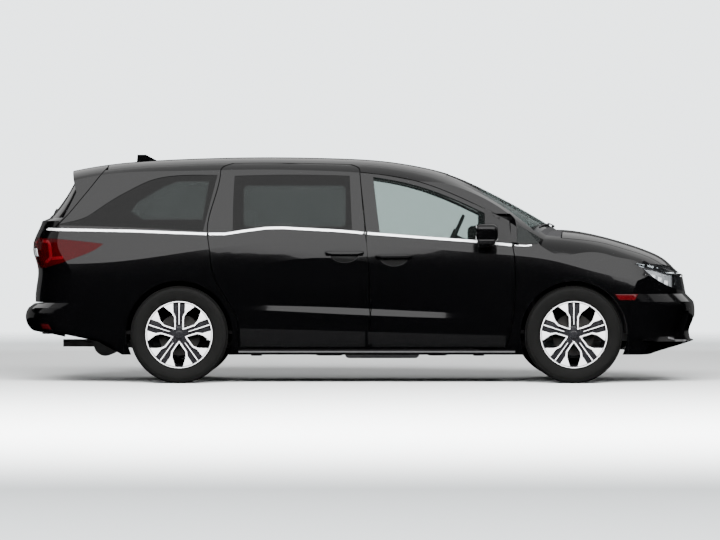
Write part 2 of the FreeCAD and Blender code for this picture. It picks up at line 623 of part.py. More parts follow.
cowl_space = box(COWL_REAR - PANEL_GAP, COWL_FRONT + PANEL_GAP, -UNDER_HALF_WIDTH - PANEL_GAP, 0,
                 COWL_FOOT - PANEL_GAP, ROOF_HEIGHT)
frame = pillars.cut(front_cut).cut(cowl_space)
JACK_SHARES = (0.195, 0.760)
JACK_PAD = 80.0
JACK_PAD_WIDTH = 54.0
JACK_Y = 840.0
JACK_FOOT_SHARE = 0.119
JACK_TOP_SHARE = 0.135
JACK_FOOT = height(JACK_FOOT_SHARE)
pads = []
for share in JACK_SHARES:
    pad = box(-JACK_PAD / 2, JACK_PAD / 2, -JACK_PAD_WIDTH / 2, JACK_PAD_WIDTH / 2, JACK_FOOT,
              height(JACK_TOP_SHARE))
    pads.append(moved(pad, x=station(share), y=-JACK_Y))
frame = fused(main_solid(frame), house, *pads)
save("side_frame_right", main_solid(frame))


# hood, fenders and nose
HOOD_BOW_SHARE = 0.3
HOOD_REAR_SHARE = 0.985
HOOD_FRONT_SHARE = 1.895
HOOD_FOOT_SHARE = 0.481
HOOD_FOOT = height(HOOD_FOOT_SHARE)
HOOD_SIDE_SHARES = [(0.960, 0.800), (1.120, 0.785), (1.350, 0.760), (1.640, 0.715), (1.780, 0.670)]


def hood_prism(grow):
    def rear_point(y):
        return V(station(HOOD_REAR_SHARE) - HOOD_BOW_SHARE * GLASS_BOW * (y / HALF_WIDTH)**2 - grow, y, 0)

    def nose_point(y):
        t = y / HALF_WIDTH
        return V(station(HOOD_FRONT_SHARE) - NOSE_BOW * t**2 - NOSE_CORNER * t**6 + grow, y, 0)
    sides = [V(station(a), -width(b) - grow, 0) for a, b in HOOD_SIDE_SHARES[1:-1]]
    rear_y = width(HOOD_SIDE_SHARES[0][1]) + grow
    nose_y = width(HOOD_SIDE_SHARES[-1][1]) + grow
    rear = [rear_point(y) for y in (-rear_y, -rear_y / 2, 0, rear_y / 2, rear_y)]
    nose = [nose_point(y) for y in (nose_y, nose_y / 2, 0, -nose_y / 2, -nose_y)]
    right = [nose[-1]] + sides[::-1] + [rear[0]]
    left = [mirrored(p) for p in right[::-1]]
    wire = Part.Wire([edge_through(rear), edge_through(left), edge_through(nose), edge_through(right)])
    return Part.Face(wire).extrude(V(0, 0, FAR_Z))


above_foot = box(0, FAR_X, -HALF_WIDTH, HALF_WIDTH, HOOD_FOOT, ROOF_HEIGHT)
hood_plug = hood_prism(0).common(above_foot)
hood_hole = hood_prism(SHUT_GAP).common(moved(above_foot, z=-SHUT_GAP))
lamp_clear = side_prism(HEADLAMP_SHARES, grow=SHUT_GAP, far=-width(HEADLAMP_REACH_SHARE))
hood = body.common(hood_plug).cut(moved(long_form, z=-HOOD_WALL)).cut(lamp_clear).cut(across(lamp_clear))
save("hood", main_solid(hood))

nose_shell = body.common(box(FENDER_REAR, FAR_X, -FAR_Y, FAR_Y, 0, FAR_Z))
nose_shell = nose_shell.cut(bay_form)
BUMPER_SHARES = [(1.425, 0.050), (1.425, 0.360), (1.500, 0.440), (1.570, 0.480), (2.200, 0.480),
                 (2.200, 0.050)]
FENDER_LIMIT_SHARES = [(0.5, 0.060), (0.5, 0.597), (0.935, 0.597), (0.935, 0.700), (2.2, 0.700), (2.2, 0.060)]
bumper_zone = side_polygon(BUMPER_SHARES, -FAR_Y, FAR_Y)
fender = nose_shell.common(side_polygon(FENDER_LIMIT_SHARES, -FAR_Y, -BAY_HALF_WIDTH))
for tool in (moved(bumper_zone, x=-PANEL_GAP, z=PANEL_GAP), hood_hole, headlamp_hole, front_arch,
             windshield_hole, front_door_hole, cowl_space):
    fender = fender.cut(tool)

GRILLE_HALF_WIDTH_SHARE = 0.545
GRILLE_HALF_WIDTH = width(GRILLE_HALF_WIDTH_SHARE)
GRILLE_FOOT_SHARE = 0.355
GRILLE_FOOT = height(GRILLE_FOOT_SHARE)
GRILLE_TOP_SHARE = 0.477
GRILLE_TOP = height(GRILLE_TOP_SHARE)
GRILLE_BARS = 5
GRILLE_BAR = 14.0
GRILLE_RIM = 16.0
GRILLE_DEPTH = 40.0
GRILLE_RELIEF = 16.0


def front_prism(half_foot, half_top, z0, z1, reach):
    """A tapered opening through the nose, seen from the front."""
    points = [V(reach, -half_foot, z0), V(reach, half_foot, z0), V(reach, half_top, z1),
              V(reach, -half_top, z1)]
    return Part.Face(line_wire(points)).extrude(V(HALF_LENGTH, 0, 0))


NOSE_START_SHARE = 1.55
NOSE_START = station(NOSE_START_SHARE)
grille_room = GRILLE_HALF_WIDTH + PANEL_GAP
grille_hole = front_prism(grille_room, grille_room, GRILLE_FOOT - PANEL_GAP, GRILLE_TOP + PANEL_GAP,
                          NOSE_START)
grille_plug = front_prism(GRILLE_HALF_WIDTH, GRILLE_HALF_WIDTH, GRILLE_FOOT, GRILLE_TOP, NOSE_START)
grille = body.common(grille_plug).cut(moved(body, x=-GRILLE_DEPTH))
slot = (GRILLE_TOP - GRILLE_FOOT - 2 * GRILLE_RIM - (GRILLE_BARS - 1) * GRILLE_BAR) / GRILLE_BARS
grille_front = body.cut(moved(body, x=-GRILLE_RELIEF))
for i in range(GRILLE_BARS):
    z = GRILLE_FOOT + GRILLE_RIM + i * (slot + GRILLE_BAR)
    half = GRILLE_HALF_WIDTH - GRILLE_RIM
    grille = grille.cut(front_prism(half, half, z, z + slot, NOSE_START).common(grille_front))
save("grille", main_solid(grille))

front_bumper = nose_shell.common(bumper_zone)
INTAKE_DEPTH = 34.0
CENTRE_INTAKE_SHARES = (0.50, 0.46, 0.185, 0.285)
SIDE_INTAKE_SHARES = (0.645, 0.800, 0.180, 0.315)
foot_share, top_share, low_share, high_share = CENTRE_INTAKE_SHARES
intake = front_prism(width(foot_share), width(top_share), height(low_share), height(high_share), NOSE_START)
near_share, far_share, low_share, high_share = SIDE_INTAKE_SHARES
side_intake = box(NOSE_START, FAR_X, -width(far_share), -width(near_share), height(low_share),
                  height(high_share))
side_intake = side_intake.common(half_body).cut(moved(half_body, x=-INTAKE_DEPTH))
for tool in (grille_hole, headlamp_hole, across(headlamp_hole), front_arch, across(front_arch), intake,
             side_intake, across(side_intake)):
    front_bumper = front_bumper.cut(tool)
save("front_bumper", main_solid(front_bumper))

headlamp = half_body.common(headlamp_plug).cut(moved(half_body, x=-LAMP_DEPTH, y=LAMP_DEPTH / 2))
headlamp = main_solid(headlamp.cut(grille_hole))
save("headlamps", both(headlamp))
fender = main_solid(fender.cut(headlamp))
save("fender_right", fender)

# the cowl between hood and windshield, a layer under the skin
COWL_WALL = 45.0
cowl_zone = box(COWL_REAR, COWL_FRONT, -UNDER_HALF_WIDTH, UNDER_HALF_WIDTH, COWL_FOOT, ROOF_HEIGHT)
cowl = body.common(cowl_zone).cut(moved(long_form, z=-COWL_WALL))
cowl = cowl.cut(windshield_hole).cut(hood_hole).cut(cabin)
save("cowl", main_solid(cowl))

# roof
roof_zone = box(ROOF_REAR + SHUT_GAP, HEADER_X, -ROOF_SIDE, ROOF_SIDE, ROOF_ZONE_Z, FAR_Z)
roof = body.common(roof_zone).cut(cabin).cut(windshield_hole)
save("roof_panel", main_solid(roof))

# tailgate with its glass and lamps
REAR_GLASS_SHARES = (0.640, 0.560, 0.735, 0.885)
tail = body.common(box(-FAR_X, ROOF_REAR + OVERRUN, -FAR_Y, FAR_Y, 0, FAR_Z))


def rear_window(grow):
    foot, top, low, high = REAR_GLASS_SHARES
    foot_y, foot_z = width(foot) + grow, height(low) - grow
    top_y, top_z = width(top) + grow, height(high) + grow
    points = [V(-FAR_X, -foot_y, foot_z), V(-FAR_X, foot_y, foot_z), V(-FAR_X, top_y, top_z),
              V(-FAR_X, -top_y, top_z)]
    return Part.Face(line_wire(points)).extrude(V(FAR_X, 0, 0))


rear_window_region = rear_window(0)
tailgate_glass = rear_window(-PANE_GAP).common(moved(tail, x=GLASS_SET_BACK))
tailgate_glass = main_solid(tailgate_glass.cut(moved(tail, x=GLASS_SET_BACK + GLASS_THICKNESS)))
save("tailgate_glass", tailgate_glass)
tailgate = tail.cut(cabin).common(tailgate_region)
for tool in (rear_window_region, tail_lamp_hole, across(tail_lamp_hole)):
    tailgate = tailgate.cut(tool)
save("tailgate", main_solid(tailgate))
lamp_layer = half_body.common(tail_lamp_plug).cut(moved(half_body, x=LAMP_DEPTH, y=LAMP_DEPTH / 2))
gate_box = box(-FAR_X, 0, -TAILGATE_HALF_WIDTH, 0, 0, ROOF_HEIGHT)
gate_clear = box(-FAR_X, 0, -TAILGATE_HALF_WIDTH - SHUT_GAP, 0, 0, ROOF_HEIGHT)
gate_lamp = main_solid(lamp_layer.common(gate_box))
side_lamp = main_solid(lamp_layer.cut(gate_clear))
save("tailgate_lamps", both(gate_lamp))
save("tail_lamps", both(side_lamp))

# rear bumper, with the striker that holds the tailgate down
STOP_RADIUS = 12.0
BUMPER_WING_SHARE = 0.875
BUMPER_WING = width(BUMPER_WING_SHARE)
CORNER_SHARE = -0.720
FLOOR_REAR_SHARE = -0.865
STRIKER_SHARES = (-0.895, -0.875)
CORNER_X = station(CORNER_SHARE)
FLOOR_REAR = station(FLOOR_REAR_SHARE)
bumper_core = box(CORNER_X, 0, -BUMPER_WING, BUMPER_WING, 0, ROOF_HEIGHT)
bumper_core = bumper_core.fuse(box(FLOOR_REAR, 0, -TAILGATE_HALF_WIDTH, TAILGATE_HALF_WIDTH, 0, ROOF_HEIGHT))
rear_bumper = body.common(rear_bumper_region).cut(cabin).cut(bumper_core)
rear_bumper = rear_bumper.cut(rear_arch).cut(across(rear_arch))
striker_rear, striker_front = [station(share) for share in STRIKER_SHARES]
striker = box(striker_rear, striker_front, -STOP_RADIUS, STOP_RADIUS, REAR_BUMPER_TOP - OVERRUN,
              TAILGATE_FOOT - SEAT_GAP)
save("rear_bumper", main_solid(main_solid(rear_bumper).fuse(striker)))

# floor, bulkhead, hinge posts, aprons and wheel liners
BAY_FRONT_SHARE = 1.72
BAY_FRONT = station(BAY_FRONT_SHARE)
SHEET = 15.0
LINER = 4.0
FLOOR_FOOT = FLOOR_TOP - FLOOR_SHEET
floor = box(FLOOR_REAR, FIREWALL_X, -TAILGATE_HALF_WIDTH, TAILGATE_HALF_WIDTH, FLOOR_FOOT, FLOOR_TOP)
floor = floor.fuse([
    box(CORNER_X, FIREWALL_X, -UNDER_HALF_WIDTH, UNDER_HALF_WIDTH, FLOOR_FOOT, FLOOR_TOP),
    box(CORNER_X, BUMPER_FRONT - PANEL_GAP, -BUMPER_WING, BUMPER_WING, FLOOR_FOOT, FLOOR_TOP),
])
for tool in (house_outer, rear_arch, front_arch):
    floor = floor.cut(tool).cut(across(tool))
bulkhead = box(FIREWALL_X, FIREWALL_X + SHEET, -UNDER_HALF_WIDTH, UNDER_HALF_WIDTH, FLOOR_FOOT, COWL_FOOT)
bulkhead = bulkhead.cut(front_arch).cut(across(front_arch))
APRON_SHARES = (0.18, 0.50)
SUPPORT_TOP_SHARE = 0.47
STOP_FOOT_SHARE = 0.49
POST_FOOT_SHARE = 0.112
POST_Y_SHARE = 0.93
POST_Y = width(POST_Y_SHARE)
SHAFT_HOLE = 40.0
apron_foot, apron_top = [height(share) for share in APRON_SHARES]
apron = box(FIREWALL_X, BAY_FRONT, -BAY_HALF_WIDTH, SHEET - BAY_HALF_WIDTH, apron_foot, apron_top)
apron = apron.cut(rod(V(FRONT_AXLE_X, -BAY_HALF_WIDTH - SHEET, TYRE_RADIUS),
                      V(FRONT_AXLE_X, 2 * SHEET - BAY_HALF_WIDTH, TYRE_RADIUS), SHAFT_HOLE))
support = box(BAY_FRONT, BAY_FRONT + SHEET, -BAY_HALF_WIDTH, BAY_HALF_WIDTH, apron_foot,
              height(SUPPORT_TOP_SHARE))
post = box(FENDER_REAR, FIREWALL_X + SHEET, -POST_Y, SHEET - UNDER_HALF_WIDTH, height(POST_FOOT_SHARE),
           FENDER_TOP)
post_rows = [thinner(row, FENDER_WALL + PANEL_GAP) for row in SIDE_SHARES[6:]]
post_form = Part.makeLoft([section_wire(row) for row in post_rows], True, False)
post = post.common(post_form).common(moved(long_form, x=-NOSE_WALL - PANEL_GAP, z=-FENDER_WALL - PANEL_GAP))
post = post.cut(front_arch).cut(hinge_relief).cut(front_door_hole).cut(cowl_space)
liner_outer = rod(V(FRONT_AXLE_X, -POST_Y, ARCH_Z), V(FRONT_AXLE_X, -BAY_HALF_WIDTH, ARCH_Z),
                  ARCH_RADIUS + LINER)
liner = liner_outer.cut(front_arch)
liner = liner.cut(box(0, FAR_X, -HALF_WIDTH, 0, -HALF_WIDTH, ARCH_Z)).common(post_form)
stop_x = BAY_FRONT - OVERRUN
stop_y = STOP_RADIUS - BAY_HALF_WIDTH
stop = rod(V(stop_x, stop_y, height(STOP_FOOT_SHARE)), V(stop_x, stop_y, ROOF_HEIGHT), STOP_RADIUS)
stop = stop.common(moved(long_form, z=-HOOD_WALL - SEAT_GAP))
floor_pan = fused(floor, bulkhead, support, apron, across(apron), post, across(post), liner, across(liner),
                  stop, across(stop))
save("floor_pan", floor_pan)

# tank and exhaust
TANK_FOOT_SHARE = 0.105
TANK_FOOT = height(TANK_FOOT_SHARE)
TANK_SHARES = (0.42, 0.61, 0.62, 0.10)
tank_rear, tank_front, tank_outer, tank_inner = TANK_SHARES
tank = box(station(tank_rear), station(tank_front), -width(tank_outer), -width(tank_inner), TANK_FOOT,
           FLOOR_FOOT)
save("fuel_tank", tank.makeFillet(OVERRUN / 2, tank.Edges))
PIPE_RADIUS = 30.0
PIPE_Z_SHARE = 0.160
PIPE_Z = height(PIPE_Z_SHARE)
PIPE_Y_SHARE = 0.12
PIPE_Y = width(PIPE_Y_SHARE)
SILENCER_X_SHARE = -0.50
silencer_x = station(SILENCER_X_SHARE)
PIPE_SHARES = (0.90, -0.80)
TAIL_PIPE_SHARE = 0.45
SILENCER_SHARES = (-0.10, 0.50)
MUFFLER_SHARES = [(0.336, 0.420), (0.628, 0.693)]
MUFFLER_FOOT_SHARE = 0.107
MUFFLER_HALF = 90.0
MUFFLER_ROUND = 45.0
TAIL_PIPE_Y = width(TAIL_PIPE_SHARE)
pipe_start, PIPE_END = [station(share) for share in PIPE_SHARES]
pipe = rod(V(pipe_start, PIPE_Y, PIPE_Z), V(silencer_x, PIPE_Y, PIPE_Z), PIPE_RADIUS)
mufflers = []
for rear, front in MUFFLER_SHARES:
    muffler = box(station(rear), station(front), PIPE_Y - MUFFLER_HALF, PIPE_Y + MUFFLER_HALF,
                  height(MUFFLER_FOOT_SHARE), PIPE_Z + PIPE_RADIUS)
    mufflers.append(muffler.makeFillet(MUFFLER_ROUND, muffler.Edges))
silencer_right, silencer_left = [width(share) for share in SILENCER_SHARES]
silencer = rod(V(silencer_x, silencer_right, PIPE_Z), V(silencer_x, silencer_left, PIPE_Z),
               FLOOR_FOOT - SEAT_GAP - PIPE_Z)
tail_pipe = rod(V(silencer_x, TAIL_PIPE_Y, PIPE_Z), V(PIPE_END, TAIL_PIPE_Y, PIPE_Z), PIPE_RADIUS)
save("exhaust", fused(pipe, silencer, tail_pipe, *mufflers))

# wheels and tyres, made for the right side with the axle at the origin
RIM_RADIUS = RIM_DIAMETER / 2
TYRE_SHARES = [(-0.440, 1.000), (0.440, 1.000), (0.490, 0.950), (0.490, 0.690), (-0.490, 0.690),
               (-0.490, 0.950)]
TYRE_BORE_SHARE = 0.690
RIM_WALL_SHARES = (0.88, 0.935)
tyre_inner = TYRE_RADIUS * TYRE_BORE_SHARE
HUB_RADIUS = 62.0
HUB_OUT = 90.0
HUB_IN = 60.0
RIM_OUT = 104.0
RIM_IN = 100.0
SPOKE_DEPTH = 36.0
WEB_DEPTH = 12.0
DISC_RADIUS = 160.0
DISC_WIDTH = 24.0
SPOKE_COUNT = 5


def ring(points):
    """A ring about the Y axis from points of y and radius."""
    wire = line_wire([V(0, y, r) for y, r in points])
    return Part.Face(wire).revolve(V(0, 0, 0), V(0, 1, 0), 360)


tyre = ring([(y * TYRE_WIDTH, r * TYRE_RADIUS) for y, r in TYRE_SHARES])
barrel_outer = tyre_inner - SEAT_GAP
barrel = ring([(-RIM_OUT, barrel_outer), (RIM_IN, barrel_outer), (RIM_IN, barrel_outer * RIM_WALL_SHARES[0]),
               (-RIM_OUT, barrel_outer * RIM_WALL_SHARES[1])])


def spoke_plate(points, y0, depth):
    return Part.Face(line_wire([V(a, y0, b) for b, a in points])).extrude(V(0, depth, 0))


# in-plane outlines of one spoke group: along the spoke and across it, as shares of the rim radius
BLADE_SHARES = [(0.20, 0.065), (0.57, 0.105), (0.945, 0.150), (0.835, 0.460), (0.57, 0.165), (0.20, 0.130)]
RIB_SHARES = [(0.20, -0.028), (0.950, -0.028), (0.950, 0.028), (0.20, 0.028)]
WEB_SHARES = [(0.20, -0.100), (0.57, -0.110), (0.940, -0.160), (0.940, 0.160), (0.57, 0.110), (0.20, 0.100)]
FACE_STEP = 6.0


def scaled(pairs, side=1):
    return [(a * RIM_RADIUS, side * b * RIM_RADIUS) for a, b in pairs]


FACE_Y = FACE_STEP - RIM_OUT
group = spoke_plate(scaled(BLADE_SHARES), FACE_Y, SPOKE_DEPTH)
group = group.fuse([spoke_plate(scaled(BLADE_SHARES, -1), FACE_Y, SPOKE_DEPTH),
                    spoke_plate(scaled(RIB_SHARES), FACE_Y + FACE_STEP, SPOKE_DEPTH - FACE_STEP),
                    spoke_plate(scaled(WEB_SHARES), FACE_Y + SPOKE_DEPTH - WEB_DEPTH, WEB_DEPTH)])
groups = []
for i in range(SPOKE_COUNT):
    spoke = group.copy()
    spoke.rotate(V(0, 0, 0), V(0, 1, 0), i * 360 / SPOKE_COUNT)
    groups.append(spoke)
hub = rod(V(0, -HUB_OUT, 0), V(0, HUB_IN, 0), HUB_RADIUS)
disc = rod(V(0, -DISC_WIDTH, 0), V(0, 0, 0), DISC_RADIUS)
wheel = fused(barrel, hub, disc, *groups)
for name, x in (("front", FRONT_AXLE_X), ("rear", REAR_AXLE_X)):
    for side, mirror in (("right", False), ("left", True)):
        for kind, shape in (("tyre", tyre), ("wheel", wheel)):
            placed = moved(shape, x=x, y=-WHEEL_Y, z=TYRE_RADIUS)
            save(kind + "_" + name + "_" + side, across(placed) if mirror else placed)

# knuckles: each turns about the upright line through its ball joints
KINGPIN_INSET = 40.0
KINGPIN_Y = WHEEL_Y - KINGPIN_INSET
UPRIGHT_HALF = 28.0
UPRIGHT_REACH = 150.0
BOSS = 30.0
KNUCKLE_DEPTH = 35.0
KNUCKLE_IN = HUB_IN + KNUCKLE_DEPTH
carrier = rod(V(0, HUB_IN + SEAT_GAP, 0), V(0, KNUCKLE_IN, 0), HUB_RADIUS)
upright = box(-UPRIGHT_HALF, UPRIGHT_HALF, HUB_IN + SEAT_GAP, KNUCKLE_IN, -UPRIGHT_REACH, UPRIGHT_REACH)
lower_boss = box(-UPRIGHT_HALF, UPRIGHT_HALF, KINGPIN_INSET, KNUCKLE_IN, -UPRIGHT_REACH, BOSS - UPRIGHT_REACH)
ball_joint = rod(V(0, KINGPIN_INSET, -UPRIGHT_REACH), V(0, KINGPIN_INSET, BOSS - UPRIGHT_REACH), UPRIGHT_HALF)
lower_boss = lower_boss.fuse(ball_joint)
upper_boss = moved(lower_boss, z=2 * UPRIGHT_REACH - BOSS)
steering_arm = box(-4 * UPRIGHT_HALF, 0, HUB_IN + SEAT_GAP, KNUCKLE_IN, -BOSS, 0)
knuckle = fused(carrier, upright, lower_boss, upper_boss, steering_arm)
knuckle = moved(knuckle, x=FRONT_AXLE_X, y=-WHEEL_Y, z=TYRE_RADIUS)
save("knuckle_right", knuckle)
save("knuckle_left", across(knuckle))

# front suspension: arms to the ball joints, coil struts, subframe and drive shafts
ARM_HALF = 25.0
ARM_THICK = 22.0
arm_top = TYRE_RADIUS - UPRIGHT_REACH - SEAT_GAP
SUBFRAME_HALF_SHARE = 0.40
SUBFRAME_HALF = width(SUBFRAME_HALF_SHARE)
arm_foot = arm_top - ARM_THICK
lower_arm = box(FRONT_AXLE_X - ARM_HALF, FRONT_AXLE_X + ARM_HALF, -KINGPIN_Y - ARM_HALF, -SUBFRAME_HALF,
                arm_foot, arm_top)
upper_foot = TYRE_RADIUS + UPRIGHT_REACH + SEAT_GAP
upper_arm = box(FRONT_AXLE_X - ARM_HALF, FRONT_AXLE_X + ARM_HALF, -KINGPIN_Y - ARM_HALF, -BAY_HALF_WIDTH,
                upper_foot, upper_foot + ARM_THICK)
STRUT_Y_SHARE = 0.61
STRUT_Y = width(STRUT_Y_SHARE)
SPRING_RADIUS = 45.0
strut_top = ARCH_Z + math.sqrt(ARCH_RADIUS**2 - SPRING_RADIUS**2) - SEAT_GAP
strut = rod(V(FRONT_AXLE_X, -STRUT_Y, arm_foot), V(FRONT_AXLE_X, -STRUT_Y, strut_top), SPRING_RADIUS)
subframe = box(FRONT_AXLE_X - 4 * ARM_HALF, FRONT_AXLE_X + 4 * ARM_HALF, -SUBFRAME_HALF, SUBFRAME_HALF,
               arm_foot - ARM_THICK, arm_top + ARM_THICK)
ENGINE_HALF_SHARE = 0.33
ENGINE_HALF = width(ENGINE_HALF_SHARE)
ENGINE_SHARES = (0.93, 1.33)
ENGINE_TOP_SHARE = 0.50
engine_rear, engine_front = [station(share) for share in ENGINE_SHARES]
engine = box(engine_rear, engine_front, -ENGINE_HALF, ENGINE_HALF, arm_top + ARM_THICK,
             height(ENGINE_TOP_SHARE))
save("engine_block", engine.makeFillet(OVERRUN / 3, engine.Edges))
JOINT_SWEEP = 90.0
shaft = rod(V(FRONT_AXLE_X, -KINGPIN_Y + JOINT_SWEEP, TYRE_RADIUS),
            V(FRONT_AXLE_X, -ENGINE_HALF, TYRE_RADIUS), ARM_HALF)
right_arms = fused(lower_arm, upper_arm, strut)
front_suspension = fused(right_arms, across(right_arms), subframe)
save("front_suspension", Part.makeCompound([front_suspension, shaft, across(shaft)]))

# rear suspension: hub carriers, arms, springs and crossmember
REAR_ARM_SHARE = 0.20
REAR_SPRING_SHARE = 0.55
CROSS_SHARE = 0.45
carrier_y = KNUCKLE_IN - WHEEL_Y
rear_carrier = rod(V(REAR_AXLE_X, HUB_IN + SEAT_GAP - WHEEL_Y, TYRE_RADIUS),
                   V(REAR_AXLE_X, carrier_y + BOSS, TYRE_RADIUS), HUB_RADIUS)
rear_upright = box(REAR_AXLE_X - UPRIGHT_HALF, REAR_AXLE_X + UPRIGHT_HALF, carrier_y, carrier_y + BOSS,
                   arm_foot, TYRE_RADIUS + UPRIGHT_REACH / 2)
rear_arm = box(REAR_AXLE_X - 2 * ARM_HALF, REAR_AXLE_X + 2 * ARM_HALF, carrier_y, -width(REAR_ARM_SHARE),
               arm_foot, arm_top)
spring_y = -width(REAR_SPRING_SHARE)
spring = rod(V(REAR_AXLE_X, spring_y, arm_foot), V(REAR_AXLE_X, spring_y, FLOOR_FOOT), SPRING_RADIUS)
cross = box(REAR_AXLE_X - 3 * ARM_HALF, REAR_AXLE_X + 3 * ARM_HALF, -width(CROSS_SHARE), width(CROSS_SHARE),
            arm_foot, arm_top + ARM_THICK)
right_rear = fused(rear_carrier, rear_upright, rear_arm, spring)
save("rear_suspension", fused(right_rear, across(right_rear), cross))

# dashboard, steering wheel and seats
DASH_SHARES = [(0.901, 0.458), (0.901, 0.596), (0.843, 0.607), (0.780, 0.573), (0.760, 0.487), (0.780, 0.401),
               (0.860, 0.367)]
DASH_HALF_SHARE = 0.760
DASH_HALF = width(DASH_HALF_SHARE)
dash = side_polygon(DASH_SHARES, -DASH_HALF, DASH_HALF)
DASH_REAR_SHARE = 0.88
dash_foot, dash_top = height(DASH_SHARES[0][1]), height(DASH_SHARES[1][1])
dash = dash.fuse(box(station(DASH_REAR_SHARE), FIREWALL_X, -DASH_HALF, DASH_HALF, dash_foot, dash_top))
DRIVER_SHARE = 0.385
WHEEL_HUB_SHARES = (0.706, 0.640)
COLUMN_TILT_DEGREES = 24
HUB_PAD_SHARE = 0.36
COLUMN_SHARE = 1.6
RIM_CORNERS = 6
WHEEL_HUB = V(station(WHEEL_HUB_SHARES[0]), width(DRIVER_SHARE), height(WHEEL_HUB_SHARES[1]))
COLUMN_TILT = math.radians(COLUMN_TILT_DEGREES)
column_way = V(math.cos(COLUMN_TILT), 0, -math.sin(COLUMN_TILT))
STEERING_RADIUS = 185.0
RIM_THICK = 14.0
rim_turns = [math.tau * i / RIM_CORNERS for i in range(RIM_CORNERS)]
rim_section = line_wire([V(STEERING_RADIUS + RIM_THICK * math.cos(a), 0, RIM_THICK * math.sin(a))
                         for a in rim_turns])
steering_ring = Part.Face(rim_section).revolve(V(0, 0, 0), V(0, 0, 1), 360)
hub_pad = Part.makeCylinder(STEERING_RADIUS * HUB_PAD_SHARE, 3 * RIM_THICK, V(0, 0, -RIM_THICK), V(0, 0, 1))
spokes = box(-STEERING_RADIUS, STEERING_RADIUS, -RIM_THICK, RIM_THICK, -RIM_THICK / 2, RIM_THICK / 2)
foot_spoke = box(-RIM_THICK, RIM_THICK, -STEERING_RADIUS, 0, -RIM_THICK / 2, RIM_THICK / 2)
steering = fused(steering_ring, hub_pad, spokes, foot_spoke)
steering_turn = FreeCAD.Rotation(V(0, 1, 0), V(0, 0, 0), -column_way, "YZX")
steering.Placement = FreeCAD.Placement(WHEEL_HUB, steering_turn)
save("steering_wheel", steering)
column = rod(WHEEL_HUB + column_way * (RIM_THICK + 2 * SEAT_GAP),
             WHEEL_HUB + column_way * (COLUMN_SHARE * STEERING_RADIUS), 2 * RIM_THICK)
save("dashboard", fused(dash, column))

SEAT_WIDTH = 500.0
CUSHION = 150.0
BACK = 130.0
BACK_TOP_SHARE = 0.675
PEDESTAL_SHARE = 0.7
FRONT_ROW_SHARE = 0.475
SECOND_ROW_SHARE = 0.175
THIRD_ROW_SHARE = -0.300
THIRD_SEAT_SHARE = 0.300
THIRD_LENGTH_SHARE = 0.9
BENCH_SHARES = (0.55, 0.60)


def seat(x_share, y_share, wide, length):
    """One seat from the back of its cushion: pedestal, cushion, back and head restraint."""
    x = station(x_share)
    y = width(y_share)
    half = wide / 2
    cushion_foot = FLOOR_TOP + CUSHION / 2
    cushion_top = cushion_foot + CUSHION
    back_top = height(BACK_TOP_SHARE)
    pedestal = box(x + BACK, x + length - BACK, y - half * PEDESTAL_SHARE, y + half * PEDESTAL_SHARE,
                   FLOOR_TOP, cushion_foot)
    cushion = box(x, x + length, y - half, y + half, cushion_foot, cushion_top)
    rise = back_top - cushion_foot
    back_points = [V(x, y - half, cushion_foot), V(x + BACK, y - half, cushion_foot),
                   V(x + BACK / 2, y - half, cushion_foot + rise),
                   V(x - BACK / 2, y - half, cushion_foot + rise)]
    back = Part.Face(line_wire(back_points)).extrude(V(0, wide, 0))
    head = box(x - BACK / 2, x + BACK / 3, y - half / 2, y + half / 2, back_top - BACK / 4,
               back_top + CUSHION)
    return fused(pedestal, cushion, back, head)


save("front_seats", both(seat(FRONT_ROW_SHARE, DRIVER_SHARE, SEAT_WIDTH, SEAT_WIDTH)))
save("second_seats", both(seat(SECOND_ROW_SHARE, DRIVER_SHARE, SEAT_WIDTH, SEAT_WIDTH)))
bench_right, bench_left = [HALF_WIDTH * share for share in BENCH_SHARES]
third_length = THIRD_LENGTH_SHARE * SEAT_WIDTH
save("third_seat", fused(seat(THIRD_ROW_SHARE, -THIRD_SEAT_SHARE, bench_right, third_length),
                         seat(THIRD_ROW_SHARE, THIRD_SEAT_SHARE, bench_left, third_length)))

# door mirrors and roof antenna
MIRROR_SHARES = (0.750, 0.811, 1.195, 1.015, 0.612, 0.698)
MIRROR_FOOT_SHARES = (0.762, 0.800, 1.080, 0.930, 0.590, 0.625)


def mirror_box(shares):
    rear, front, outer, inner, low, high = shares
    return box(station(rear), station(front), -width(outer), -width(inner), height(low), height(high))


mirror_housing = mirror_box(MIRROR_SHARES)
mirror_housing = mirror_housing.makeFillet(OVERRUN / 2, mirror_housing.Edges)
mirror_foot = mirror_box(MIRROR_FOOT_SHARES)
mirror = fused(mirror_housing, mirror_foot).cut(half_body)
mirror = main_solid(mirror)
save("mirror_right", mirror)
FIN_SHARES = [(-0.305, 0.965), (-0.300, 1.010), (-0.245, 1.010), (-0.150, 0.975), (-0.150, 0.965)]
FIN_HALF = 16.0
save("roof_antenna", side_polygon(FIN_SHARES, -FIN_HALF, FIN_HALF).cut(body))

for name, shape in (("front_door", main_solid(front_door)), ("front_door_glass", front_door_glass),
                    ("sliding_door", main_solid(sliding_door)), ("fender", fender), ("mirror", mirror),
                    ("side_frame", main_solid(frame)),
                    ("side_glass", side_glass)):
    save(name + "_left", across(shape))
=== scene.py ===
"""A long three-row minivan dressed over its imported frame: paint, glass, wheels, lamps, trim and seats."""

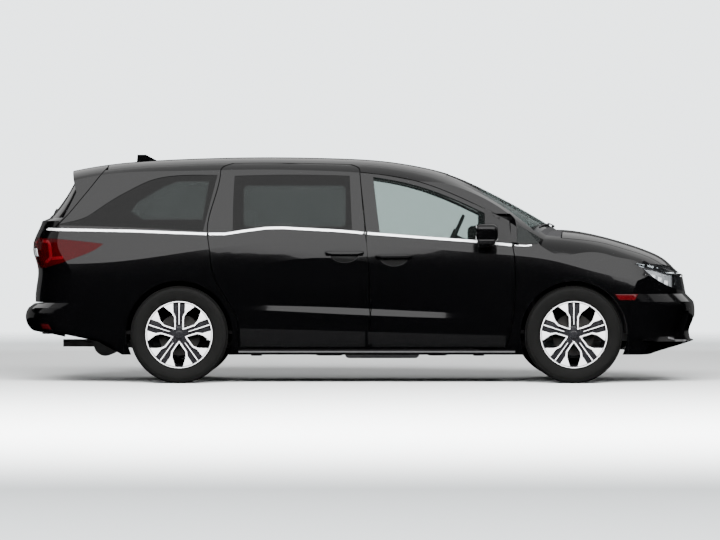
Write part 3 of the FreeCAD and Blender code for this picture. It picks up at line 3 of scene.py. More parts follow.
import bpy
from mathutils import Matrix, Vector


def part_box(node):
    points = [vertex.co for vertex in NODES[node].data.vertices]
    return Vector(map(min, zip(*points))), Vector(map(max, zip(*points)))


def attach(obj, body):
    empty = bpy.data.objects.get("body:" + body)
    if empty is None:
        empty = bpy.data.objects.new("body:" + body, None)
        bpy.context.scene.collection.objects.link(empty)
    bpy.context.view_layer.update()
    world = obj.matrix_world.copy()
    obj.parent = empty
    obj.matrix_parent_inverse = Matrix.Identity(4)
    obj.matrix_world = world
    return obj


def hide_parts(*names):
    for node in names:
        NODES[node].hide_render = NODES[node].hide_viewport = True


bl_info = {
    "name": "Minivan dressing",
    "version": (1, 0, 0),
    "blender": (4, 5, 0),
    "location": "3D View > Sidebar > Minivan",
    "description": "Models the finish, wheels, lamps, trim and seats of a minivan over its frame",
    "category": "Object",
}

import math

import bpy
from mathutils import Matrix, Vector
from mathutils.bvhtree import BVHTree

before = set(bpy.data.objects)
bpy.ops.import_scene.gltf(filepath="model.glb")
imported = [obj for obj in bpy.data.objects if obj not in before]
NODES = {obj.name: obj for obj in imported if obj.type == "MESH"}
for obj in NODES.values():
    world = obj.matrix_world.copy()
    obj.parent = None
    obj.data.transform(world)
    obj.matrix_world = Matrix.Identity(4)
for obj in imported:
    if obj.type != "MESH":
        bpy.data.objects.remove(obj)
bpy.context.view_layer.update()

# the frame's own places, in metres
WHEEL_R = (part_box("tyre_front_right")[1].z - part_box("tyre_front_right")[0].z) / 2
FRONT_X = sum(corner.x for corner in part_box("tyre_front_right")) / 2
REAR_X = sum(corner.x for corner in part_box("tyre_rear_right")) / 2
WHEEL_Y = -sum(corner.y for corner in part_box("tyre_front_right")) / 2
RIM_R = 0.254
CORNERS = (("front", FRONT_X), ("rear", REAR_X))
SIDES = (("right", -1), ("left", 1))
SEAT_BACK_TOP = 1.178
SEAT_FLOOR = 0.400


# ---------------------------------------------------------------- settings
def colour(name, description, default):
    return bpy.props.FloatVectorProperty(name=name, description=description, subtype="COLOR", size=3,
                                         default=default, min=0, max=1)


class VanPaint(bpy.types.PropertyGroup):
    paint: colour("Paint", "Colour of the body paint", (0.0006, 0.0006, 0.0007))
    clear_tint: colour("Clear glass", "Tint of the front door glass and windshield", (0.655, 0.69, 0.68))
    dark_tint: colour("Privacy glass", "Tint of the rear side glass and tailgate glass", (0.30, 0.32, 0.32))
    cloth: colour("Upholstery", "Colour of the seats", (0.36, 0.35, 0.33))
    lens: colour("Tail lens", "Colour of the tail lamps' lenses", (0.016, 0.0003, 0.0006))


class VanSizes(bpy.types.PropertyGroup):
    tyre_steps: bpy.props.IntProperty(
        name="Tread pitches", description="Number of tread blocks round each tyre", default=72, min=36, max=96)
    groove: bpy.props.FloatProperty(
        name="Groove depth", description="Depth of the tread grooves", default=0.007, min=0.002, max=0.01,
        unit="LENGTH", subtype="DISTANCE")
    strip: bpy.props.FloatProperty(
        name="Belt strip", description="Height of the bright strip under the windows", default=0.018, min=0.005,
        max=0.03, unit="LENGTH", subtype="DISTANCE")
    spokes: bpy.props.IntProperty(
        name="Spoke groups", description="Number of spoke groups in each wheel", default=5, min=5, max=5)


def paint():
    return bpy.context.scene.van_paint


def sizes():
    return bpy.context.scene.van_sizes


# ---------------------------------------------------------------- materials
class Sum:
    """A value inside a material: arithmetic on it adds the Math nodes."""

    def __init__(self, tree, socket):
        self.tree = tree
        self.socket = socket

    def math(self, operation, *others, clamp=False):
        node = self.tree.nodes.new("ShaderNodeMath")
        node.operation = operation
        node.use_clamp = clamp
        for place, value in zip(node.inputs, (self,) + others):
            if isinstance(value, Sum):
                self.tree.links.new(value.socket, place)
            else:
                place.default_value = value
        return Sum(self.tree, node.outputs[0])

    def constant(self, value):
        node = self.tree.nodes.new("ShaderNodeValue")
        node.outputs[0].default_value = value
        return Sum(self.tree, node.outputs[0])

    def __add__(self, other):
        return self.math("ADD", other)

    def __sub__(self, other):
        return self.math("SUBTRACT", other)

    def __mul__(self, other):
        return self.math("MULTIPLY", other)

    def __truediv__(self, other):
        return self.math("DIVIDE", other)

    def __rsub__(self, other):
        return self.constant(other).math("SUBTRACT", self)

    def __abs__(self):
        return self.math("ABSOLUTE")

    def larger(self, other):
        return self.math("MAXIMUM", other)

    def wave(self, pitch):
        return (self * pitch).math("SINE")

    def above(self, edge, soft=0.001):
        """0 below an edge, 1 above it, with a soft step between."""
        return ((self - edge) / soft).math("ADD", 0.5, clamp=True)

    def below(self, edge, soft=0.001):
        return 1 - self.above(edge, soft)


class Finish:
    """One material under construction, with its principled shader and its place on the object."""

    def __init__(self, name, **sockets):
        self.material = bpy.data.materials.new(name)
        self.material.use_nodes = True
        self.tree = self.material.node_tree
        self.shader = self.tree.nodes["Principled BSDF"]
        self.output = self.tree.nodes["Material Output"]
        self.set(**sockets)
        coordinates = self.tree.nodes.new("ShaderNodeTexCoord")
        self.place = coordinates.outputs["Object"]
        split = self.tree.nodes.new("ShaderNodeSeparateXYZ")
        self.tree.links.new(self.place, split.inputs[0])
        self.x, self.y, self.z = (Sum(self.tree, split.outputs[i]) for i in range(3))

    def set(self, **sockets):
        for name, value in sockets.items():
            self.feed(self.shader.inputs[name.replace("_", " ")], value)
        return self

    def feed(self, socket, value):
        """Sets a socket: a value is linked, a word is one of the panel's colours, the rest is a constant."""
        if isinstance(value, str):
            value = tuple(getattr(paint(), value))
        if isinstance(value, Sum):
            value = value.socket
        if isinstance(value, bpy.types.NodeSocket):
            self.tree.links.new(value, socket)
        elif socket.type == "RGBA" and len(value) == 3:
            socket.default_value = (*value, 1)
        else:
            socket.default_value = value

    def node(self, kind, **sockets):
        made = self.tree.nodes.new("ShaderNode" + kind)
        for name, value in sockets.items():
            self.feed(made.inputs[name.replace("_", " ")], value)
        return made

    def noise(self, scale, detail=2.0):
        made = self.node("TexNoise", Vector=self.place, Scale=scale, Detail=detail)
        return Sum(self.tree, made.outputs[0])

    def cells(self, scale):
        made = self.node("TexVoronoi", Vector=self.place, Scale=scale)
        return Sum(self.tree, made.outputs["Distance"])

    def mix(self, amount, low, high):
        made = self.tree.nodes.new("ShaderNodeMix")
        made.data_type = "RGBA"
        self.feed(made.inputs[0], amount)
        self.feed(made.inputs[6], low)
        self.feed(made.inputs[7], high)
        return made.outputs[2]

    def bump(self, heights, strength=0.2, distance=0.001):
        made = self.node("Bump", Strength=strength, Distance=distance, Height=heights)
        self.tree.links.new(made.outputs[0], self.shader.inputs["Normal"])
        return self

    def fresnel(self):
        """How much a clear surface mirrors, from little when seen square-on to all at a glance."""
        return Sum(self.tree, self.node("Fresnel", IOR=1.45).outputs[0])

    def see_through(self, amount, tint):
        """Mixes the shader over plain tinted transparency: amount 0 shows all, 1 nothing behind."""
        clear = self.node("BsdfTransparent", Color=tint)
        both = self.node("MixShader", Fac=amount.math("MINIMUM", 1.0))
        self.tree.links.new(clear.outputs[0], both.inputs[1])
        self.tree.links.new(self.shader.outputs[0], both.inputs[2])
        self.tree.links.new(both.outputs[0], self.output.inputs[0])

    def radius(self):
        """Distance from the wheel's axle, the same for the front and the rear wheels."""
        middle = (FRONT_X + REAR_X) / 2
        along = abs(self.x - middle) - (FRONT_X - middle)
        up = self.z - WHEEL_R
        return (along * along + up * up).math("SQRT")


# for each simple finish: the shader's sockets, the bump's pattern (a noise's scale, or the pitch of ribs
# along each axis), and the bump's strength and depth
SIMPLE_FINISHES = {
    "body_paint": (dict(Base_Color="paint", Roughness=0.16, IOR=1.5, Coat_Weight=1.0, Coat_Roughness=0.015),
                   140.0, 0.04, 0.0004),
    "gloss_trim": (dict(Base_Color=(0.0025, 0.0025, 0.0026), Roughness=0.08, Coat_Weight=0.6, Coat_Roughness=0.03),
                   220.0, 0.03, 0.0003),
    "bright_strip": (dict(Base_Color=(0.90, 0.91, 0.92), Metallic=0.30, Roughness=0.22, IOR=1.6), 60.0, 0.02, 0.0005),
    "wheel_black": (dict(Base_Color=(0.008, 0.008, 0.009), Roughness=0.22, Coat_Weight=0.8, Coat_Roughness=0.05),
                    300.0, 0.05, 0.0003),
    # painted shade: a flat dull black sheet on the skin, standing in for the shade inside a recessed handle cup
    "cup_black": (dict(Base_Color=(0.002, 0.002, 0.002), Roughness=0.35, Coat_Weight=0.3), 90.0, 0.05, 0.0005),
    "satin_trim": (dict(Base_Color=(0.16, 0.16, 0.165), Metallic=0.7, Roughness=0.3), 120.0, 0.03, 0.0003),
    "mirror_silver": (dict(Base_Color=(0.80, 0.82, 0.84), Metallic=1.0, Roughness=0.02), 12.0, 0.01, 0.0003),
    "screen_black": (dict(Base_Color=(0.004, 0.005, 0.006), Roughness=0.06, IOR=1.5, Coat_Weight=1.0,
                          Coat_Roughness=0.02), 80.0, 0.02, 0.0002),
    "red_lens": (dict(Base_Color="lens", Roughness=0.05, IOR=1.3, Coat_Weight=0.3, Coat_Roughness=0.02),
                 {"z": 620.0}, 0.06, 0.0006),
    "light_guide": (dict(Base_Color=(0.055, 0.0012, 0.0024), Roughness=0.15, IOR=1.5, Coat_Weight=1.0,
                         Coat_Roughness=0.02, Emission_Color=(0.8, 0.01, 0.03), Emission_Strength=0.04),
                    {"z": 900.0, "x": 700.0}, 0.2, 0.0005),
    "light_bar": (dict(Base_Color=(0.9, 0.9, 0.88), Roughness=0.2, Emission_Color=(1.0, 0.98, 0.95),
                       Emission_Strength=0.5), {"x": 700.0}, 0.15, 0.0005),
    "marker_red": (dict(Base_Color=(0.026, 0.0008, 0.0014), Roughness=0.12, IOR=1.5, Coat_Weight=1.0,
                        Coat_Roughness=0.03), {"x": 900.0, "z": 900.0}, 0.2, 0.0005),
}
PRINTED_BLACK = (0.004, 0.004, 0.004)
# corners of the rear quarter window's clear middle: x and height
QUARTER_PANE = [(-1.656, 1.251), (-1.208, 1.251), (-1.164, 1.534), (-1.391, 1.534), (-1.492, 1.497), (-1.693, 1.377),
                (-1.744, 1.308)]


def rounded_pane(across, up, middle, half, radius, soft=0.02):
    """1 inside a rectangle with rounded corners and 0 outside, with a soft edge."""
    dx = (abs(across - middle[0]) - (half[0] - radius)).larger(0.0)
    dz = (abs(up - middle[1]) - (half[1] - radius)).larger(0.0)
    return (dx * dx + dz * dz).math("SQRT").below(radius, soft)


def many_sided(across, up, corners, soft=0.02):
    """1 inside a shape of straight sides, its corners given anticlockwise, and 0 outside."""
    inside = None
    for (ax, az), (bx, bz) in zip(corners, corners[1:] + corners[:1]):
        length = math.dist((ax, az), (bx, bz))
        nx, nz = (az - bz) / length, (bx - ax) / length
        side = (across * nx + up * nz - (ax * nx + az * nz)).above(0.0, soft)
        inside = side if inside is None else inside.math("MINIMUM", side)
    return inside


def grained_plastic(finish):
    colour = (0.018, 0.018, 0.019)
    worn = tuple(1.5 * c for c in colour)
    finish.set(Roughness=0.55, IOR=1.45, Base_Color=finish.mix(finish.noise(30.0, 4.0), colour, worn))
    finish.bump(finish.cells(900.0), 0.25, 0.0004)


def clear_glass(finish):
    finish.set(Base_Color=(0.02, 0.025, 0.024), Roughness=0.02, IOR=1.5, Coat_Weight=0.5, Coat_Roughness=0.01)
    finish.see_through(finish.fresnel() * 0.7 + 0.04, "clear_tint")


def windshield_glass(finish):
    """Clear in the middle, with a dark band at the top and a black printed rim."""
    finish.set(Base_Color=(0.006, 0.007, 0.008), Roughness=0.02, IOR=1.5, Coat_Weight=0.5, Coat_Roughness=0.01)
    rim = abs(finish.y).above((finish.x - 0.66) * 0.248 + 0.690, 0.012)
    foot = (finish.x + finish.y * finish.y * 0.19).above(1.455, 0.015)
    band = finish.x.below(0.86, 0.20) * 0.75
    finish.see_through(finish.fresnel() * 0.5 + 0.03 + rim.larger(foot).larger(band), "clear_tint")


def privacy_glass(finish):
    """Dark side glass with a black printed band round each window's clear middle."""
    sliding = rounded_pane(finish.x, finish.z, (-0.503, 1.348), (0.384, 0.152), 0.03)
    quarter = many_sided(finish.x, finish.z, QUARTER_PANE)
    clear = sliding.larger(quarter).larger(finish.x.above(1.0) * 0.5)
    haze = finish.mix(finish.noise(5.0, 3.0), (0.0149, 0.0169, 0.0165), (0.0189, 0.0209, 0.0205))
    finish.set(Roughness=0.03, IOR=1.30, Base_Color=finish.mix(clear, PRINTED_BLACK, haze))
    finish.see_through(finish.fresnel() * 0.8 + 1.0 - clear * 0.45, "dark_tint")


def rear_glass(finish):
    """Dark tailgate glass with heater lines and a printed rim."""
    clear = rounded_pane(finish.y, finish.z, (0.0, 1.412), (0.545, 0.098), 0.04)
    lines = finish.z.wave(240.0).above(0.96, 0.03) * clear
    dark = finish.mix(clear, PRINTED_BLACK, (0.020, 0.022, 0.022))
    finish.set(Roughness=0.03, IOR=1.30, Base_Color=finish.mix(lines, dark, (0.10, 0.06, 0.04)))
    finish.see_through(finish.fresnel() * 0.8 + 1.0 - clear * 0.5 + lines, "dark_tint")


def tyre_rubber(finish):
    r = finish.radius()
    waves = r.wave(900.0) * r.above(0.285) * r.below(0.335)
    dust = finish.noise(25.0, 5.0)
    black = finish.mix(dust, (0.0020, 0.0020, 0.0020), (0.0045, 0.0045, 0.0043))
    finish.set(IOR=1.35, Base_Color=black, Roughness=dust * 0.2 + 0.5)
    finish.bump(waves * 0.35 + finish.noise(400.0, 3.0) * 0.3, 0.35, 0.001)


def machined_alloy(finish):
    """Pale metal with the fine rings of a lathe."""
    cloud = finish.noise(9.0, 3.0)
    finish.set(Metallic=0.20, IOR=1.5, Coat_Weight=0.4, Coat_Roughness=0.10, Roughness=cloud * 0.10 + 0.20,
               Base_Color=finish.mix(cloud, (0.62, 0.62, 0.63), (0.72, 0.72, 0.73)))
    finish.bump(finish.radius().wave(5200.0), 0.12, 0.0002)


def brake_steel(finish):
    finish.set(Metallic=1.0, Base_Color=(0.32, 0.31, 0.30), Roughness=finish.noise(40.0, 5.0) * 0.3 + 0.3)
    finish.bump(finish.radius().wave(3600.0), 0.2, 0.0003)


def cast_metal(finish):
    grain = finish.noise(260.0, 4.0)
    finish.set(Metallic=0.9, Base_Color=(0.30, 0.30, 0.31), Roughness=grain * 0.25 + 0.4)
    finish.bump(grain, 0.4, 0.001)


def coated_steel(finish):
    wear = finish.noise(18.0, 6.0)
    finish.set(Metallic=0.3, Base_Color=finish.mix(wear, (0.012, 0.012, 0.013), (0.035, 0.034, 0.033)),
               Roughness=wear * 0.3 + 0.4)
    finish.bump(finish.noise(300.0, 3.0), 0.2, 0.0006)


def lamp_cover(finish):
    finish.set(Base_Color=(0.03, 0.032, 0.035), Roughness=0.03, IOR=1.5, Coat_Weight=0.6, Coat_Roughness=0.01)
    finish.see_through(finish.fresnel() * 0.45 + 0.02, (0.96, 0.97, 0.98))


def reflector_silver(finish):
    finish.set(Base_Color=(0.34, 0.35, 0.36), Metallic=0.50, IOR=1.5, Roughness=finish.noise(50.0) * 0.1 + 0.12)
    finish.bump(finish.x.wave(420.0), 0.4, 0.001)


def lamp_glass(finish):
    """Frosted clear plastic, as on a reversing lamp."""
    finish.set(Base_Color=(0.45, 0.46, 0.47), Roughness=0.12, IOR=1.5, Coat_Weight=0.8, Coat_Roughness=0.03)
    finish.bump(finish.cells(160.0), 0.3, 0.001)


def seat_leather(finish):
    shade = finish.noise(14.0, 4.0)
    low = tuple(0.85 * c for c in paint().cloth)
    finish.set(IOR=1.45, Sheen_Weight=0.15, Sheen_Roughness=0.4, Base_Color=finish.mix(shade, low, "cloth"),
               Roughness=shade * 0.15 + 0.45)
    finish.bump(finish.cells(420.0), 0.2, 0.0006)


def studio_floor(finish):
    """Pale, and fading into the background far out."""
    finish.set(Roughness=0.6, Base_Color=(0.90, 0.92, 0.92))
    far = (finish.x * finish.x + finish.y * finish.y).math("SQRT")
    finish.see_through(far.below(16.0, 12.0), (1, 1, 1))


MAKERS = {maker.__name__: maker for maker in (
    grained_plastic, clear_glass, windshield_glass, privacy_glass, rear_glass, tyre_rubber, machined_alloy,
    brake_steel, cast_metal, coated_steel, lamp_cover, reflector_silver, lamp_glass, seat_leather, studio_floor)}
MATERIALS = {}


def finish_of(name):
    """The one material of that name, made the first time it is asked for."""
    if name not in MATERIALS:
        finish = Finish(name)
        if name in MAKERS:
            MAKERS[name](finish)
        else:
            sockets, pattern, strength, depth = SIMPLE_FINISHES[name]
            finish.set(**sockets)
            if isinstance(pattern, dict):
                ribs = [getattr(finish, axis).wave(pitch) for axis, pitch in pattern.items()]
                heights = ribs[0] if len(ribs) == 1 else ribs[0] + ribs[1]
            else:
                heights = finish.noise(pattern)
            finish.bump(heights, strength, depth)
        MATERIALS[name] = finish.material
    return MATERIALS[name]


# ---------------------------------------------------------------- modelling helpers
def deselect():
    if bpy.context.object and bpy.context.object.mode != "OBJECT":
        bpy.ops.object.mode_set(mode="OBJECT")
    bpy.ops.object.select_all(action="DESELECT")


def named(name):
    piece = bpy.context.active_object
    piece.name = name
    piece.data.name = name
    return piece


def hold(piece):
    """Makes a piece the only one selected."""
    deselect()
    piece.select_set(True)
    bpy.context.view_layer.objects.active = piece
    return piece


def pick(piece, test):
    """Selects a piece's faces by a test on their middle and their normal, and starts to edit them."""
    bpy.ops.object.mode_set(mode="OBJECT")
    mesh = piece.data
    for item in list(mesh.vertices) + list(mesh.edges):
        item.select = False
    for face in mesh.polygons:
        face.select = bool(test(face.center, face.normal))
    bpy.ops.object.mode_set(mode="EDIT")
    bpy.ops.mesh.select_mode(type="FACE")


def edited(*steps):
    """Runs mesh operators, each given as a name and its settings, on the whole of the active piece."""
    bpy.ops.object.mode_set(mode="EDIT")
    bpy.ops.mesh.select_all(action="SELECT")
    for name, settings in steps:
        getattr(bpy.ops.mesh, name)(**settings)
    bpy.ops.object.mode_set(mode="OBJECT")


def outward(piece):
    """Merges doubled points and turns every face outwards."""
    hold(piece)
    edited(("remove_doubles", {"threshold": 0.00002}), ("normals_make_consistent", {"inside": False}))
    return piece


def shaped(piece, *steps):
    """Adds modifiers to a piece, each given as a kind and its settings, and applies them in turn."""
    hold(piece)
    for kind, settings in steps:
        modifier = piece.modifiers.new(kind.title(), kind)
        for key, value in settings.items():
            setattr(modifier, key, value)
        bpy.ops.object.modifier_apply(modifier=modifier.name)
    return piece


def rounded(width, segments=2, limit="ANGLE"):
    """The step of shaped that rounds edges: the sharp ones, or with NONE all of them."""
    return "BEVEL", {"width": width, "segments": segments, "limit_method": limit}


def finished(piece, finish, body, replaces=(), angle=35):
    """Gives a piece its finish, unless it has one, and lets it ride on its body."""
    if not piece.data.materials:
        piece.data.materials.append(finish_of(finish))
    hold(piece)
    bpy.ops.object.transform_apply(location=True, rotation=True, scale=True)
    bpy.ops.object.shade_smooth_by_angle(angle=math.radians(angle))
    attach(piece, body)
    if replaces:
        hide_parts(*replaces)
    return piece


def outlined(name, places, fill="NOTHING"):
    """A closed line through the places, or with NGON one face with those corners."""
    deselect()
    bpy.ops.mesh.primitive_circle_add(vertices=len(places), radius=1.0, fill_type=fill)
    piece = named(name)
    for point, place in zip(piece.data.vertices, places):
        point.co = place
    return piece


def turned(name, outline, steps, unit=1.0):
    """Spins a closed outline of (y, radius) pairs round the Y axis, its radii given in a unit."""
    piece = outlined(name, [(0, y, r * unit) for y, r in outline])
    edited(("spin", {"steps": steps, "angle": 2 * math.pi, "center": (0, 0, 0), "axis": (0, 1, 0)}))
    return outward(piece)


def plate(name, outline, depth, bevel):
    """A plate in the XZ plane, its face at y 0 and its thickness towards +Y, with bevelled edges."""
    piece = outlined(name, [(x, 0, z) for x, z in outline], "NGON")
    edited(("extrude_region_move", {"TRANSFORM_OT_translate": {"value": (0, depth, 0)}}))
    return shaped(outward(piece), rounded(bevel))


def copied(piece, name, turn=0.0, move=(0, 0, 0), flip=False):
    """A copy with its own mesh, turned about Y, mirrored in Y if asked, and moved."""
    hold(piece)
    bpy.ops.object.duplicate(linked=False)
    twin = named(name)
    twin.data.transform(Matrix.Rotation(turn, 4, "Y"))
    if flip:
        twin.data.transform(Matrix.Scale(-1, 4, (0, 1, 0)))
        twin.data.flip_normals()
    twin.data.transform(Matrix.Translation(move))
    return twin


def joined(name, pieces):
    deselect()
    for piece in pieces:
        piece.select_set(True)
    bpy.context.view_layer.objects.active = pieces[0]
    bpy.ops.object.join()
    return named(name)


def dropped(*pieces):
    deselect()
    for piece in pieces:
        piece.select_set(True)
    bpy.ops.object.delete()


def skin_tree(words):
    """A search tree over the faces of the nodes whose names hold any of the words."""
    points = []
    faces = []
    for name, node in NODES.items():
        if any(word in name for word in words):
            start = len(points)
            points += [v.co.copy() for v in node.data.vertices]
            faces += [[start + i for i in p.vertices] for p in node.data.polygons]
    return BVHTree.FromPolygons(points, faces)


SKIN = skin_tree(("side_frame", "door", "fender", "side_glass", "bumper", "headlamps", "tail_lamps", "tailgate", "roof",
                  "hood", "grille", "cowl", "windshield"))
# for each way of looking: the outward direction, and how a pair of numbers and a depth make a place
VIEWS = {
    "right": (Vector((0, -1, 0)), lambda a, b, d: Vector((a, d, b))),
    "left": (Vector((0, 1, 0)), lambda a, b, d: Vector((a, d, b))),
    "front": (Vector((1, 0, 0)), lambda a, b, d: Vector((d, a, b))),
    "rear": (Vector((-1, 0, 0)), lambda a, b, d: Vector((d, a, b))),
    "top": (Vector((0, 0, 1)), lambda a, b, d: Vector((a, b, d))),
}
LOOK_FROM = 4.0
# where the search goes on beside a place that lies over a shut gap
ASIDES = (0, 0.006, -0.006, 0.012, -0.012, 0.02, -0.02, 0.03, -0.03)


def on_skin(a, b, view="right", lift=0.0, tree=None):
    """The place on the body seen one way, lifted outwards by a little. A shut gap is spanned."""
    out, place = VIEWS[view]
    sign = sum(out)
    for aside in ASIDES:
        origin = place(a + aside, b, sign * LOOK_FROM)
        hit, normal, *_ = (tree or SKIN).ray_cast(origin, -out)
        if hit is not None:
            break
    else:
        raise ValueError(f"no skin seen from the {view} at {a:.3f}, {b:.3f}")
    if normal.dot(out) < 0:
        normal = -normal
    return place(a, b, hit.dot(out) * sign) + normal * lift


def along(points, share):
    """A place a share of the way along a line of points, by length."""
    lengths = [math.dist(a, b) for a, b in zip(points, points[1:])]
    left = share * sum(lengths)
    for a, b, length in zip(points, points[1:], lengths):
        if left <= length:
            t = left / length
            return tuple(p + t * (q - p) for p, q in zip(a, b))
        left -= length
    return tuple(points[-1])


# the usual thickness of a piece laid on the body, its height over it, and its edges' bevel
SHEET_THICK = 0.003
SHEET_LIFT = 0.0005
SHEET_BEVEL = 0.001


def draped(name, low, high, view, grid, thick=SHEET_THICK, lift=SHEET_LIFT, bevel=SHEET_BEVEL, hollow=0.0, tree=None):
    """A sheet laid on the body between two lines, given a thickness; hollow sinks its middle."""
    deselect()
    bpy.ops.mesh.primitive_grid_add(x_subdivisions=grid[0], y_subdivisions=grid[1], size=1.0)
    piece = named(name)
    for point in piece.data.vertices:
        u = point.co.x + 0.5
        v = point.co.y + 0.5
        a = along(low, u)
        b = along(high, u)
        sink = hollow * 16 * u * (1 - u) * v * (1 - v)
        point.co = on_skin(a[0] + v * (b[0] - a[0]), a[1] + v * (b[1] - a[1]), view, lift - sink, tree)
    outward(piece)
    out = VIEWS[view][0]
    if sum(face.normal.dot(out) for face in piece.data.polygons) < 0:
        piece.data.flip_normals()
    steps = [("SOLIDIFY", {"thickness": thick, "offset": 1.0})]
    if bevel:
        steps.append(rounded(bevel))
    return shaped(piece, *steps)


def level(a, b, low, high):
    """The two lines of a sheet with level edges, between two places and two heights."""
    return [(a, low), (b, low)], [(a, high), (b, high)]


def banded(name, path, width, view, columns, thick=SHEET_THICK, lift=SHEET_LIFT, bevel=SHEET_BEVEL):
    """A thin strip of one width along a path on the body."""
    half = width / 2
    low = []
    high = []
    for i in range(columns + 1):
        u = i / columns
        here = along(path, u)
        before = along(path, max(0, u - 0.01))
        after = along(path, min(1, u + 0.01))
        way = Vector((after[0] - before[0], after[1] - before[1])).normalized()
        low.append((here[0] + way.y * half, here[1] - way.x * half))
        high.append((here[0] - way.y * half, here[1] + way.x * half))
    return draped(name, low, high, view, (columns, 1), thick, lift, bevel)


def block(name, low, high, cuts=0):
    """A plain block between two corners, cut up if asked, to be shaped further."""
    deselect()
    bpy.ops.mesh.primitive_cube_add(size=1.0, location=[(a + b) / 2 for a, b in zip(low, high)])
    piece = named(name)
    piece.scale = [b - a for a, b in zip(low, high)]
    bpy.ops.object.transform_apply(location=True, rotation=True, scale=True)
    if cuts:
        edited(("subdivide", {"number_cuts": cuts}))
    return piece


def rounded_block(name, low, high, bevel, segments=3, taper=None):
    """A block between two corners, its points moved by taper if given, then bevelled."""
    piece = block(name, low, high)
    if taper:
        for point in piece.data.vertices:
            point.co = taper(point.co.copy())
    return shaped(piece, rounded(bevel, segments, "NONE"))


def sided(sign, low, high):
    """A block's two corners, given for the left side, on the side of that sign."""
    near, far = sorted((sign * low[1], sign * high[1]))
    return (low[0], near, low[2]), (high[0], far, high[2])


def bowed(name, low, high, bow, bevel):
    """A bar across the van between two corners, bent back towards its ends as the nose is."""
    piece = block(name, low, high, 9)
    for point in piece.data.vertices:
        point.co.x -= bow * point.co.y ** 2
    return shaped(piece, rounded(bevel))


# ---------------------------------------------------------------- pieces
# the finish of each node of the frame: the longest word in its name decides
CAD_FINISHES = {
    "body_paint": ("side_frame", "roof_panel", "fender", "hood", "bumper", "sliding_door", "front_door_right",
                   "front_door_left", "tailgate", "mirror", "roof_antenna"),
    "gloss_trim": ("grille",),
    "clear_glass": ("front_door_glass",),
    "windshield_glass": ("windshield",),
    "privacy_glass": ("side_glass",),
    "rear_glass": ("tailgate_glass",),
    "red_lens": ("tail_lamps", "tailgate_lamps"),
    "lamp_cover": ("headlamps",),
    "grained_plastic": ("cowl", "dashboard", "steering_wheel", "fuel_tank"),
    "cast_metal": ("engine_block",),
    "coated_steel": ("floor_pan", "knuckle", "suspension", "exhaust"),
    "seat_leather": ("front_seats", "second_seats", "third_seat"),
    "tyre_rubber": ("tyre_",),
    "machined_alloy": ("wheel_front", "wheel_rear"),
}


class VAN_OT_finishes(bpy.types.Operator):
    """Give every piece of the frame its material"""
    bl_idname = "van.finishes"
    bl_label = "Frame finishes"

    def execute(self, context):
        finishes = {word: name for name, words in CAD_FINISHES.items() for word in words}
        for name, node in NODES.items():
            word = max((word for word in finishes if word in name), key=len)
            node.data.materials.clear()
            node.data.materials.append(finish_of(finishes[word]))
        return {"FINISHED"}


# the tyre's section: across it in metres, and out from the axle as a share of its radius
TREAD_OUTLINE = [
    (-0.090, 0.998), (-0.075, 1.000), (-0.0735, 0.981), (-0.0645, 0.981), (-0.063, 1.000), (-0.030, 1.0),
    (-0.0285, 0.981), (-0.0195, 0.981), (-0.018, 1.000), (0.018, 1.000), (0.0195, 0.981), (0.0285, 0.981),
    (0.030, 1.000), (0.063, 1.000), (0.0645, 0.981), (0.0735, 0.981), (0.075, 1.000), (0.090, 0.998),
    (0.105, 0.985), (0.113, 0.955), (0.1165, 0.900), (0.1165, 0.850), (0.112, 0.790), (0.106, 0.740), (0.100, 0.705),
    (0.094, 0.692), (-0.094, 0.692), (-0.100, 0.705), (-0.106, 0.740), (-0.112, 0.790), (-0.1165, 0.850),
    (-0.1165, 0.900), (-0.113, 0.955), (-0.105, 0.985),
]
# the shoulder blocks lie past these: a share of the radius, and metres to either side
SHOULDER_SHARE = 0.925
SHOULDER_SIDE = 0.078


class VAN_OT_tyres(bpy.types.Operator):
    """Model the four tyres with grooved treads"""
    bl_idname = "van.tyres"
    bl_label = "Tyres"

    def execute(self, context):
        pitches = sizes().tyre_steps
        first = turned("tyre", TREAD_OUTLINE, pitches * 2, WHEEL_R)
        step = math.pi / pitches

        def sipe(place, normal):
            radial = math.hypot(place.x, place.z)
            turn = math.atan2(place.x, place.z) % (2 * step)
            return radial > SHOULDER_SHARE * WHEEL_R and SHOULDER_SIDE < abs(place.y) and turn < step
        pick(first, sipe)
        bpy.ops.mesh.inset(thickness=0.0022, use_individual=False)
        sunk = 1 - sizes().groove / WHEEL_R
        bpy.ops.transform.resize(value=(sunk, 0.97, sunk))
        bpy.ops.object.mode_set(mode="OBJECT")
        for end, x in CORNERS:
            for side, sign in SIDES:
                name = f"tyre_{end}_{side}"
                piece = copied(first, name + "_tread", 0, (x, sign * WHEEL_Y, WHEEL_R), sign > 0)
                finished(piece, "tyre_rubber", f"wheel_{end}_{side}", (name,), 30)
        dropped(first)
        return {"FINISHED"}


# flat shapes of a spoke group, along and across it, as shares of the rim's radius
BLADE_OUTLINE = [(0.215, 0.098), (0.535, 0.102), (0.675, 0.172), (0.945, 0.180), (0.970, 0.188), (0.866, 0.476),
                 (0.835, 0.464), (0.665, 0.238), (0.530, 0.148), (0.215, 0.138)]
RIB_OUTLINE = [(0.30, -0.010), (0.960, -0.019), (0.960, 0.019), (0.30, 0.010)]
WEB_OUTLINE = [(0.18, -0.110), (0.55, -0.120), (0.68, -0.185), (0.955, -0.195), (0.955, 0.195), (0.68, 0.185),
               (0.55, 0.120), (0.18, 0.110)]
